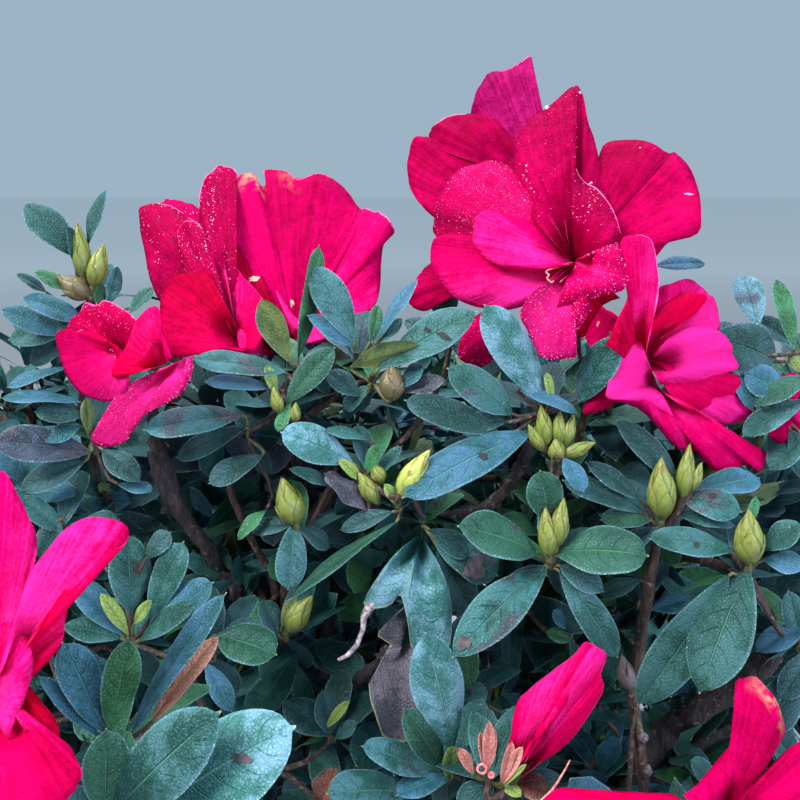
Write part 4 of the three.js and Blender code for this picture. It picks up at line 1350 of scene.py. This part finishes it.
def stamenStrands(throat, facing, seed):
    pick = random.Random(seed)
    strands = []
    for _ in range(stamens["count"]):
        aside = Vector((pick.uniform(-1, 1), pick.uniform(-1, 1), pick.uniform(-1, 1))) * 0.35
        tip = throat + (facing + aside).normalized() * stamens["length"] * pick.uniform(0.75, 1.1)
        line = bentLine(throat, facing, tip, (facing + worldUp * 0.4).normalized(), 7)
        strands.append((line, [stamens["thread"]] * 6 + [*stamens["head"]]))
    return strands


stalkParts, tubeParts, stamenParts = [], [], []


def petalsPiece(name, form, node, offset):
    replaced = [node] if node in cadNodes else ()
    piece = formPiece(name, form, petalFinishes, replaced)
    wall = piece.modifiers.new("wall", "SOLIDIFY")
    wall.thickness = petalLook["thickness"]
    wall.offset = offset
    wall.material_offset_rim = 1


def makeBloom(name, form, throat, facing, threads=()):
    petalsPiece(name + "_petals", form, name, 0.0)
    stalk, tube = stalkStrands(throat, facing)
    stalkParts.append(stalk)
    tubeParts.append(tube)
    stamenParts.extend(threads)
    twigTips.append((stalk[0][0], worldUp, nearestMass(stalk[0][0])))


dewdrops = {
    "perPetal": 230,
    "onRim": 50,
    "radius": (0.00010, 0.00021),
    "low": (0.82, 0.01, 0.20),
    "high": (1.0, 0.16, 0.50),
    "least": 0.25,  # petals with less dew have no beads
}
dewForm = bmesh.new()
rolledRims = []


def wetPetal(place, dew, pick):  # beads of dew on the side that faces the camera, most along the rim
    form = bmesh.new()
    for step in range(int(dewdrops["perPetal"] * dew) + int(dewdrops["onRim"] * dew)):
        onRim = step < dewdrops["onRim"] * dew
        a = pick.uniform(0.02, 0.98)
        v = pick.uniform(0.955, 0.995) if onRim else 1 - 0.6 * pick.random() ** 1.4
        spot = place(a, v)
        normal = (place(a + 0.01, v) - spot).cross(place(a, v - 0.02) - spot).normalized()
        if normal.dot(eye - spot) < 0:
            normal = -normal
        radius = pick.uniform(*dewdrops["radius"]) * (1.2 if onRim else 1.0)
        move = Matrix.Translation(spot + normal * (petalLook["thickness"] / 2 + radius * 0.3))
        bmesh.ops.create_icosphere(form, subdivisions=1, radius=radius, matrix=move)
    beads = bpy.data.meshes.new("beads")
    form.to_mesh(beads)
    form.free()
    dewForm.from_mesh(beads)
    bpy.data.meshes.remove(beads)


for index, (name, bloom) in enumerate(photoBlooms.items()):
    form = newPetalForm()
    pick = random.Random(seeds["photoBlooms"] + index)
    for step, row in enumerate(bloom["petals"]):
        place = photoPetalPlace(row, bloom, index * 1.7 + step * 2.9)
        petalSheet(form, place, row["looks"])
        dew = float(np.max(row["looks"]["dew"]))
        if dew > dewdrops["least"]:
            wetPetal(place, dew, pick)
        if row["roll"]:
            first, last, radius = row["roll"]
            line = [place(a, 0.997) for a in np.linspace(first, last, 40)]
            rolledRims.append((line, radius * mm * np.sin(np.linspace(0.15, math.pi - 0.15, 40)) ** 0.5))
    throat = atPixel(bloom["throat"], bloom["depth"] + petalShape["funnel"] * mm)
    makeBloom(name, form, throat, facingWay(bloom["turn"], bloom["rise"]))


pinkParts = {  # what is left of fallen flowers beside the furled bud: a ring round its scar and a bent style
    "ring": {"middle": (482, 769), "reach": 4.6, "depth": 0.2075, "radius": 0.00032},
    "lump": {"middle": (491, 775), "reach": 2.2, "depth": 0.2085, "radius": 0.00042},
}
for part in pinkParts.values():
    line = []
    for step in range(13):
        around = step * math.tau / 12
        x, y = (m + part["reach"] * w for m, w in zip(part["middle"], (math.cos(around), math.sin(around))))
        line.append(atPixel((x, y), part["depth"]))
    stamenParts.append((line, [part["radius"]] * 13))
bentStyle = {"path": [(570, 760), (566, 768), (560, 778), (552, 790), (540, 802)], "depth": 0.206}
line = smoothLine([atPixel(pixel, bentStyle["depth"]) for pixel in bentStyle["path"]], 16)
stamenParts.append((line, np.linspace(0.00016, 0.00036, 16)))

rings = [  # the outer ring of petals, then ruffled ones inside it
    {"count": 5, "step": math.tau / 5, "shift": 1, "half": 42, "reach": (0.94, 1.04), "rise": (0.7, 0.9),
     "tone": (0.3, 0.7), "faces": (18, 11)},
    {"count": 6, "step": goldenAngle, "shift": 2, "half": 32, "reach": (0.45, 0.72), "rise": (0.95, 1.2),
     "tone": (0.35, 0.9), "faces": (14, 9)},
]
for index, (name, bloom) in enumerate(plainBlooms.items()):
    form = newPetalForm()
    pick = random.Random(seeds["plainBlooms"] + index)
    facing = facingWay(bloom["turn"], bloom["rise"])
    throat = Vector(bloom["foot"]) * mm + facing * 0.006
    radius, depth = bloom["radius"] * mm, bloom["depth"] * mm
    for ring in rings:
        half = math.radians(ring["half"])
        for step in range(ring["count"]):
            angle = step * ring["step"] + index * ring["shift"]
            reach, rise, phase = (pick.uniform(*span) for span in (ring["reach"], ring["rise"], (0, 6)))
            place = plainPetalPlace(throat, facing, radius, depth, angle, half, reach, rise, phase)
            looks = {"tone": pick.uniform(*ring["tone"]), "dew": 0.3, "warm": 0.2}
            petalSheet(form, place, looks, *ring["faces"])
    makeBloom(name, form, throat, facing, stamenStrands(throat, facing, seeds["stamens"] + index))

# What the photo shows of the main bloom's stamens
curl = [(572, 262), (564, 265), (556, 268), (550, 269), (546, 272), (549, 275), (547, 278), (551, 282),
        (554, 281)]
filament = [(576, 266), (572, 272), (566, 277), (560, 282)]
for path, radius in ((curl, 0.00022), (filament, 0.00014)):
    nearer = np.interp(range(len(path)), [0, 3, len(path)], [-0.002, 0.0095, 0.0105])
    line = [atPixel(pixel, photoBlooms["bloom_main"]["depth"] - near) for pixel, near in zip(path, nearer)]
    radii = np.interp(range(36), [0, 12, 36], [0.0001, radius, radius])
    stamenParts.append((smoothLine(line, 36), radii))
print("blooms open:", len(photoBlooms) + len(plainBlooms))


# The furled bud: petals wrapped round each other
furledBud = {"throat": (513, 778), "towards": (540, 735), "depth": 0.212, "turn": 0,
             "rise": cameraSetup["pitch"], "stalk": 0.014, "petals": [
    petal([(506, 752), (512, 735), (515, 712), (530, 690), (555, 670), (575, 655), (586, 643), (600, 650),
        (606, 658), (600, 673), (603, 688), (590, 712), (566, 744), (540, 761), (528, 772)], -2, 0.6,
        bulge=-6),
    petal([(505, 754), (511, 735), (514, 712), (520, 697), (530, 689), (541, 679), (555, 669), (566, 662),
        (575, 654), (581, 645), (587, 642), (591, 649), (588, 666), (580, 686), (560, 708), (536, 742)],
        [-1, 2, 5, 4], [0.2, 1.0, 0.7, 0.0], cup=-2, warm=0.3, ruffle=1.0),
    petal([(535, 742), (546, 712), (562, 698), (578, 684), (585, 664), (588, 650), (594, 646), (604, 652),
        (607, 657), (603, 665), (600, 673), (603, 681), (603, 688), (598, 697), (590, 712), (578, 730),
        (566, 745), (555, 753), (541, 762), (529, 772)], [6, 6, 3, -1], [0.5, 1.0, 0.6, 0.2], bulge=4,
        cup=-2, warm=0.4, ruffle=1.0)]}


def makeFurledBud(setup):
    form = newPetalForm()
    for step, row in enumerate(setup["petals"]):
        petalSheet(form, photoPetalPlace(row, setup, 30 + step * 2.9), row["looks"])
    petalsPiece("furled_petals", form, "bud_furled", -1.0)
    foot = atPixel(setup["throat"], setup["depth"])
    way = (atPixel(setup["towards"], setup["depth"]) - foot).normalized()
    below = foot - worldUp * setup["stalk"]
    stalkParts.append((bentLine(below, worldUp, foot + way * 0.002, way, 6), np.linspace(0.0009, 0.0014, 7)))
    twigTips.append((below, worldUp, nearestMass(below)))


makeFurledBud(furledBud)
curvePiece("stalks", stalkParts, 8, stalkGreen)
curvePiece("bloom_tubes", tubeParts, 10, tubeRed)
curvePiece("stamens", stamenParts, 6, stamenPink)
# the rolled rims are real curls painted a lighter pink than the petals: a painted highlight
rolledRimHighlightLook = plainFinish("rolledRimHighlight", (0.62, 0.004, 0.14), (0.92, 0.09, 0.36), 800, 0.4)
curvePiece("rolled_rims", rolledRims, 6, rolledRimHighlightLook)


def dewFinish():
    look = Finish("dew")
    shade = look.grain(look.place(), 1600, 2).fade(0.42, 0.62)
    base = look.mix(shade, colour(*dewdrops["low"]), colour(*dewdrops["high"]))
    return look.finish(look.paint({"Base Color": base, "Roughness": 0.2, "Specular IOR Level": 0.4}))


formPiece("dewdrops", dewForm, [dewFinish()])


# Twigs
def forkGroups(tips, count):  # parts the tips by nearness, from seeded middles
    places = np.array([twigTips[k][0][:] for k in tips])
    middles = places[dice.choice(len(tips), count, replace=False)]
    for _ in range(6):
        nearest = np.argmin(np.linalg.norm(places[:, None] - middles[None], axis=2), axis=1)
        middles = np.array([places[nearest == k].mean(0) if (nearest == k).any() else middles[k]
                            for k in range(count)])
    groups = [[tip for tip, k in zip(tips, nearest) if k == group] for group in range(count)]
    return [group for group in groups if group]


def twigWidth(count):
    return growth["twigRadius"] * count ** (1 / growth["pipePower"])


def growTwigs(strands, start, way, tips, thickest):
    radius = min(twigWidth(len(tips)), thickest)
    if len(tips) == 1:
        place, heading, _ = twigTips[tips[0]]
        line = bentLine(start, way, place, heading, 5)
        strands.append((line, np.linspace(radius, growth["twigRadius"] * 0.8, 6)))
        return
    middle = sum((twigTips[k][0] for k in tips), Vector()) / len(tips)
    share = 0.42 if len(tips) > 6 else 0.55
    fork = start + (middle - start) * share + way * 0.006 + Vector(noise.random_vector()) * 0.003
    heading = (middle - start).normalized() * 0.7 + way * 0.5
    heading.normalize()
    strands.append((bentLine(start, way, fork, heading, 4), np.linspace(radius, radius * 0.88, 5)))
    for group in forkGroups(tips, min(len(tips), 3 if len(tips) > 8 else 2)):
        growTwigs(strands, fork - heading * 0.0015, heading, group, radius * 0.92)


twigStrands = {"twigs_front": [], "twigs_back": []}
for mass in massNames:
    end, way = limbEnd(mass)
    tips = [k for k, tip in enumerate(twigTips) if tip[2] == mass]
    forward = "back" not in mass and any(word in mass for word in ("front", "fore", "top", "low"))
    strands = twigStrands["twigs_front" if forward else "twigs_back"]
    growTwigs(strands, end - way * growth["overlap"], way, tips, growth["thickest"])
for name, strands in twigStrands.items():
    piece = curvePiece(name, strands, 6, youngBark)
    print(name + ":", len(strands), "strands,", len(piece.data.polygons), "faces")


# Foliage: the photo's own leaves, then leaves round every other shoot
# Sprays that face up, inner sprays and odd leaves get the lighter, bluer tones, and sprays that
# face down darker ones: painted sky light and painted shade
def dealtTone(up):  # one plain colour for each spray
    pick = chance.random()
    if pick < 0.30:
        return "mid" if up else "dark"
    if pick < 0.52:
        return "dark"
    if pick < 0.64:
        return "teal" if up else "mid"
    if pick < 0.76:
        return "bluish" if up else "mid"
    if pick < 0.86:
        return "green"
    if pick < 0.93:
        return "fresh"
    return "purple" if pick < 0.965 else "olive"


spray = {
    "lift": (12, 52, 9),  # degrees: the outermost leaf, what the innermost has more, and the scatter
    "shrink": 0.42,  # how much shorter the innermost leaf is
    "slim": (0.36, 0.44),
    "bend": (8, 42),
    "fold": (6, 22),
    "curl": (0.12, 0.32),
    "twist": (-14, 14),
    "oddTone": 0.12,  # share of the leaves that have a colour of their own
    "stem": 0.011,  # length of shoot that bears the leaves
    "withBud": 0.4,
    "budLength": (0.008, 0.012),
    "budWidth": 0.0042,
}


def sprayLeaves(shoot, count, coarse=False):
    way = shoot["way"]
    side = way.orthogonal().normalized()
    other = way.cross(side)
    start = chance.uniform(0, math.tau)
    # painted light and shade: lighter, bluer tones where the spray faces up or stands inside
    tone = dealtTone(coarse or way.z > 0.2)
    rows = []
    for step in range(count):
        share = step / max(count - 1, 1)
        around = start + step * goldenAngle + chance.uniform(-0.3, 0.3)
        lowest, more, scatter = spray["lift"]
        lift = math.radians(lowest + more * share + chance.uniform(-scatter, scatter))
        radial = side * math.cos(around) + other * math.sin(around)
        axis = (radial * math.cos(lift) + way * math.sin(lift) + worldUp * 0.1).normalized()
        normal = (way - axis * way.dot(axis)).normalized()
        length = chance.uniform(*growth["leafLength"]) * (1.06 - spray["shrink"] * share)
        base = shoot["place"] - way * (spray["stem"] * (1 - share)) + radial * 0.0008
        own = tone if chance.random() > spray["oddTone"] else dealtTone(True)
        width = length * chance.uniform(*spray["slim"])
        bend, fold = (math.radians(chance.uniform(*spray[kind])) for kind in ("bend", "fold"))
        curl, twist = chance.uniform(*spray["curl"]), math.radians(chance.uniform(*spray["twist"]))
        phase = chance.uniform(0, 6)
        rows.append(leafRow(base, axis, normal, length, width, own, bend, fold, curl, twist, 0.05, phase))
    if not coarse and chance.random() < spray["withBud"]:  # a young bud in the middle
        for step in range(3):
            around = start + step * math.tau / 3
            radial = side * math.cos(around) + other * math.sin(around)
            foot, axis = shoot["place"] + radial * 0.0012, (way + radial * 0.1).normalized()
            length = chance.uniform(*spray["budLength"])
            rows.append(leafRow(foot, axis, -radial, length, spray["budWidth"], "young", -0.3, 0.7, 0.3))
    return rows


foliagePieces = {
    "foliage_front": ["leaves_front", "leaves_front_right", "leaves_fore", "leaves_low_front"],
    "foliage_left": ["leaves_front_left", "leaves_side_left", "leaves_low_left"],
    "foliage_right": ["leaves_right", "leaves_side_right", "leaves_low_right"],
    "foliage_top": ["leaves_top_left", "leaves_top_right"],
    "foliage_back": ["leaves_back_left", "leaves_back_right", "leaves_back"],
    "foliage_low_back": ["leaves_low_back_left", "leaves_low_back_right"],
}
for name, masses in foliagePieces.items():
    rows = []
    for shoot in outerShoots:
        if shoot["mass"] in masses:
            rows += sprayLeaves(shoot, chance.randint(*growth["leavesPerShoot"]))
    leafPiece(name, rows, 4, 6, masses)
innerRows = []
for shoot in innerShoots:
    innerRows += sprayLeaves(shoot, chance.randint(*growth["leavesInside"]), coarse=True)
leafPiece("foliage_inner", innerRows, 2, 4)

photoRows, fillRows, leafStalks, sideTwigs = [], [], [], []
joins = {"leaf": 0.00042, "torn": 0.0005, "bud": 0.0008, "twigFrom": 0.0085}  # radii, and the longest stalk


def joinTo(shoot, end, way, radius):  # a leaf stalk or side twig from the shoot to what the photo shows
    root = shoot["place"] - shoot["way"] * 0.004
    end, way = Vector(end), Vector(way).normalized()
    far = (end - root).length > joins["twigFrom"]
    heading = ((end - root).normalized() + shoot["way"] * 0.35).normalized()
    line = bentLine(root, heading, end, way, 4)
    (sideTwigs if far else leafStalks).append((line, [radius * (1.5 if far else 1.2)] * 4 + [radius]))


for shoot in shoots.values():
    for row in shoot["leaves"]:
        photoRows.append(leafOnShoot(row, shoot))
        joinTo(shoot, photoRows[-1][0:3], photoRows[-1][3:6], joins["leaf"])
    for step in range(5 if shoot["leaves"] else 0):  # more leaves behind, so that the shoot is whole
        around = step * goldenAngle + shoot["place"].x * 900
        axis = (ahead * 0.9 + rightward * math.cos(around) + upward * (0.4 + math.sin(around))).normalized()
        normal = (worldUp - axis * axis.z).normalized()
        length = chance.uniform(*growth["leafBehind"])
        tone = chance.choice(["dark", "mid", "dark", "fresh"])
        base = shoot["place"] - shoot["way"] * 0.003
        fillRows.append(leafRow(base, axis, normal, length, length * 0.4, tone, bend=0.5, fold=0.3,
                                curl=0.2, twist=0.1, wave=0.05, phase=around))
leafPiece("foliage_near", photoRows, 10, 18, point=0.03)
tornForm = bmesh.new()
tornForm.loops.layers.uv.new("Leaf")
for row in tornRims:
    shape = petal(row["rim"], row["near"], 0, claw=row["claw"], bulge=2, ruffle=0.7)
    place = photoPetalPlace(shape, tornLeaf, row["claw"][0])
    petalSheet(tornForm, place, {}, 30, 18, toneNames.index(row["tone"]))
tornFoot = atPixel(tornLeaf["throat"], tornLeaf["depth"] + petalShape["funnel"] * mm)
joinTo(shoots[tornLeaf["stalk"]], tornFoot, -upward, joins["torn"])
formPiece("torn_leaf", tornForm, leafFinishes)
stripLine = [atPixel(pixel, tornLeaf["depth"] - 0.002) for pixel in tornStrip["path"]]
stripWidths = [width / 2 * pixelSize(tornLeaf["depth"]) for width in tornStrip["width"]]
driedRim = plainFinish("driedRim", (0.13, 0.11, 0.14), (0.46, 0.40, 0.42), 900, 0.5)
curvePiece("torn_strip", [(stripLine, stripWidths)], 10, driedRim)
leafPiece("foliage_near_back", fillRows, 4, 6)

budForm = bmesh.new()
budForm.loops.layers.uv.new("Leaf")
for shoot in shoots.values():
    for row in shoot["buds"]:
        foot = atPixel(row["start"], shoot["depth"] - 0.001)
        tip = atPixel(row["tip"], shoot["depth"] - 0.001 - row["near"] * mm)
        addBud(budForm, foot, tip, row["width"] * pixelSize(shoot["depth"]), row["tone"], row["tip"][0] * 0.7)
        joinTo(shoot, foot + (tip - foot) * 0.08, (tip - foot).normalized(), joins["bud"])


# Sprays on the bare limbs, in the gaps between the masses
between = {
    "tries": 900,
    "seed": 31,
    "above": 0.13,
    "out": (0.012, 0.036),
    "off": 0.004,  # how far outside the masses a spray stands
    "spacing": 0.021,
    "leaves": (6, 9),
    "clear": 0.30,  # nothing in view stands nearer to the camera than this
    "twig": [0.0011, 0.001, 0.0009, 0.0008, 0.0007],
}


def limbShoots(setup):
    pick = random.Random(setup["seed"])
    wood = [name for name in cadNodes if name.startswith(("stem_", "bough_"))]
    limbs = [v.co.copy() for name in wood for v in cadNodes[name].data.vertices if v.co.z > setup["above"]]
    found = []
    for _ in range(setup["tries"]):
        root = pick.choice(limbs)
        out = Vector((root.x * 4 + pick.gauss(0, 1), root.y * 4 + pick.gauss(0, 1), pick.gauss(0.3, 0.8)))
        out.normalize()
        place = root + out * pick.uniform(*setup["out"])
        spot, outward, _, _ = massTree.find_nearest(place)
        crowded = any((place - other["place"]).length < setup["spacing"] for other in found)
        if (place - spot).dot(outward) < setup["off"] or crowded:
            continue
        x, y, depth = toPixel(place)
        if 0 < x < 2 * halfSide and 0 < y < 2 * halfSide and depth < setup["clear"]:
            continue
        way = (out + worldUp * 0.6).normalized()
        found.append({"place": place, "way": way})
        sideTwigs.append((bentLine(root - out * 0.001, out, place, way, 4), setup["twig"]))
    return found


betweenRows = []
for shoot in limbShoots(between):
    betweenRows += sprayLeaves(shoot, chance.randint(*between["leaves"]))
leafPiece("foliage_between", betweenRows, 4, 6)
curvePiece("leaf_stalks", leafStalks, 6, stalkGreen)
curvePiece("side_twigs", sideTwigs, 6, youngBark)
formPiece("buds", budForm, budFinishes)


# Holes, bruises, dried spots and glints: thin patches laid on whatever the camera sees at a pixel
scars = [  # pixel, half width, half height, tilt in degrees and kind
    ((428, 330), 4, 1.6, 20, "paintedHoleShade"), ((444, 336), 7, 2.6, 25, "paintedHoleShade"), ((483, 456), 5, 3, 20, "paintedHoleShade"),
    ((550, 507), 2.5, 2.5, 0, "paintedHoleShade"), ((697, 544), 3, 3, 0, "paintedHoleShade"), ((712, 495), 4, 2.4, 0, "paintedHoleShade"),
    ((137, 568), 3.5, 8, -15, "paintedHoleShade"), ((474, 567), 12, 12, 0, "bruise"), ((463, 642), 8, 7, 0, "bruise"),
    ((241, 758), 10, 5, 10, "bruise"), ((254, 279), 5.5, 2.6, -10, "tan"),
    ((292, 303), 2, 3.6, 0, "tan"), ((689, 194), 4, 1, 5, "paintedGlint"), ((598, 324), 1.0, 3, 20, "tan"),
    ((318, 404), 5, 2, 20, "rust"), ((329, 414), 4, 2.4, -10, "rust"), ((334, 400), 2.4, 3.4, 10, "rust"),
]
# a hole is a near black patch, the painted shade seen through the hole, and a glint
# a pale pink streak, a painted highlight
scarLooks = {  # its two colours, the fineness of their grain, and roughness
    "paintedHoleShade": ((0.006, 0.008, 0.008), (0.024, 0.018, 0.018), 900, 0.8),
    "bruise": ((0.016, 0.030, 0.030), (0.090, 0.056, 0.070), 620, 0.6),
    "tan": ((0.36, 0.17, 0.12), (0.56, 0.40, 0.28), 800, 0.6),
    "paintedGlint": ((0.70, 0.06, 0.24), (0.90, 0.26, 0.44), 900, 0.5),
    "rust": ((0.060, 0.016, 0.012), (0.22, 0.060, 0.036), 700, 0.6),
}
scarSheet = {"ragged": 0.5, "step": 0.003, "above": 0.00035}
scarFinishes = [plainFinish(kind, *look) for kind, look in scarLooks.items()]
seenTree = treeOf([piece for piece in bpy.data.objects
                   if piece.name.endswith("_petals") or piece.name in ("torn_leaf", "foliage_near")])


def makeScars():
    form = bmesh.new()
    for number, (pixel, halfWidth, halfHeight, tilt, kind) in enumerate(scars):
        middle, _, _, reach = seenTree.ray_cast(eye, (atPixel(pixel, 1.0) - eye).normalized())
        if middle is None:
            print("no surface for the scar at", pixel)
            continue
        turn = math.radians(tilt)
        verts = bmesh.ops.create_grid(form, x_segments=10, y_segments=10, size=1.0)["verts"]
        for vert in verts:
            u, w = vert.co.x, vert.co.y
            u, w = u * math.sqrt(1 - w * w / 2), w * math.sqrt(1 - u * u / 2)  # the square made round
            stray = noise.noise(Vector((u * 1.6 + number * 7, w * 1.6, number)))
            ragged = 1 + scarSheet["ragged"] * stray
            x, y = u * halfWidth * ragged, w * halfHeight * ragged
            place = (pixel[0] + x * math.cos(turn) - y * math.sin(turn),
                     pixel[1] + x * math.sin(turn) + y * math.cos(turn))
            way = (atPixel(place, 1.0) - eye).normalized()
            spot, _, _, far = seenTree.ray_cast(eye, way)
            if spot is None or abs(far - reach) > scarSheet["step"]:
                far = reach
            vert.co = eye + way * (far - scarSheet["above"])
        for face in facesOf(verts):
            face.material_index = list(scarLooks).index(kind)
    form.normal_update()
    formPiece("scars", form, scarFinishes)


# Beads of water along folds and rims of the petals, and two drops
wetCrests = {
    "lines": [
        [(143, 206), (159, 204), (178, 207), (197, 217)], [(180, 223), (182, 237), (189, 251), (201, 258)],
        [(209, 190), (214, 210), (211, 226), (205, 249)], [(224, 168), (216, 182), (213, 200), (216, 214)],
        [(146, 220), (152, 240), (160, 262)], [(190, 221), (203, 230), (208, 244)],
        [(528, 166), (527, 184), (530, 206)], [(586, 178), (592, 196), (588, 214)],
        [(84, 306), (98, 306), (112, 304), (128, 316)], [(104, 338), (112, 350), (118, 362)]],
    "spacing": 2.2,  # pixels between beads
    "aside": 2.4,  # pixels that they stray
    "radius": (0.00008, 0.00025),
    "drops": [((547, 108), 2.6), ((580, 93), 1.6), ((208, 204), 1.2), ((640, 148), 1.0)],
}


def makeCrests():
    form = bmesh.new()
    pick = random.Random(seeds["crests"])

    def bead(pixel, radius, material):
        way = (atPixel(pixel, 1.0) - eye).normalized()
        spot, _, _, _ = seenTree.ray_cast(eye, way)
        if spot is not None:
            move = Matrix.Translation(spot - way * radius * 0.4)
            for vert in bmesh.ops.create_icosphere(form, subdivisions=2, radius=radius, matrix=move)["verts"]:
                for face in vert.link_faces:
                    face.material_index = material

    for line in wetCrests["lines"]:
        length = sum(math.dist(a, b) for a, b in zip(line, line[1:]))
        for pixel in splinePoints(line, int(length / wetCrests["spacing"])):
            pixel = [p + pick.gauss(0, wetCrests["aside"]) for p in pixel]
            bead(pixel, pick.uniform(*wetCrests["radius"]), 0)
    for pixel, size in wetCrests["drops"]:
        bead(pixel, size * pixelSize(0.24), 1)
    for face in form.faces:
        face.smooth = True
    # the beads and drops are opaque, painted pale pink to white: painted glints on the water
    beadGlintLook = plainFinish("crestBeadGlint", (0.90, 0.16, 0.38), (1.0, 0.58, 0.70), 1600, 0.15)
    dropGlintLook = plainFinish("drop", (0.50, 0.06, 0.18), (0.92, 0.60, 0.70), 500, 0.05)
    formPiece("crest_beads", form, [beadGlintLook, dropGlintLook])


makeScars()
makeCrests()


# Floor and light
studio = {
    "floorColour": (0.25, 0.255, 0.26),
    "farFloor": (0.93, 0.93, 0.93),  # lighter, so that the horizon doesn't show
    "worldColour": (0.60, 0.81, 1.0),
    "worldStrength": 0.56,
    "floorSize": 30.0,
    "farFrom": (1.0, 5.0),
    "target": (0, -0.15, 0.33),
    "lights": {
        "keyLight": {"place": (-0.9, -0.7, 1.5), "size": 0.8, "power": 50, "tint": (1.0, 0.96, 0.90)},
        "skyLight": {"place": (0.1, 0.5, 1.9), "size": 1.6, "power": 46, "tint": (0.76, 0.86, 1.0)},
        "fillLight": {"place": (1.0, -1.1, 0.7), "size": 1.2, "power": 27, "tint": (0.82, 0.84, 1.0)},
    },
}


def makeStudio(setup):
    form = bmesh.new()
    bmesh.ops.create_grid(form, x_segments=2, y_segments=2, size=setup["floorSize"])
    look = Finish("floor")
    place = look.place()
    base = look.mix(look.grain(place, 6, 2) * 0.1, colour(*setup["floorColour"]), colour(0.7, 0.7, 0.7))
    reach = look.node("ShaderNodeVectorMath", {"operation": "LENGTH"}, {0: place}, out="Value")
    base = look.mix(reach.fade(*setup["farFrom"]), base, colour(*setup["farFloor"]))
    material = look.finish(look.paint({"Base Color": base, "Roughness": 0.9, "Specular IOR Level": 0.0}))
    floor = bpy.data.objects.new("floor", meshOf("floor", form, [material]))
    bpy.context.scene.collection.objects.link(floor)
    world = bpy.data.worlds.new("studio")
    world.use_nodes = True
    sky = world.node_tree.nodes["Background"]
    sky.inputs["Color"].default_value = colour(*setup["worldColour"])
    sky.inputs["Strength"].default_value = setup["worldStrength"]
    bpy.context.scene.world = world
    target = Vector(setup["target"])
    for name, light in setup["lights"].items():
        data = bpy.data.lights.new(name, "AREA")
        data.size = light["size"]
        data.energy = light["power"]
        data.color = light["tint"]
        lamp = bpy.data.objects.new(name, data)
        lamp.location = light["place"]
        lamp.rotation_euler = (target - lamp.location).to_track_quat("-Z", "Y").to_euler()
        bpy.context.scene.collection.objects.link(lamp)
    bpy.context.scene.view_settings.view_transform = "Standard"


makeStudio(studio)
print("studio lit")
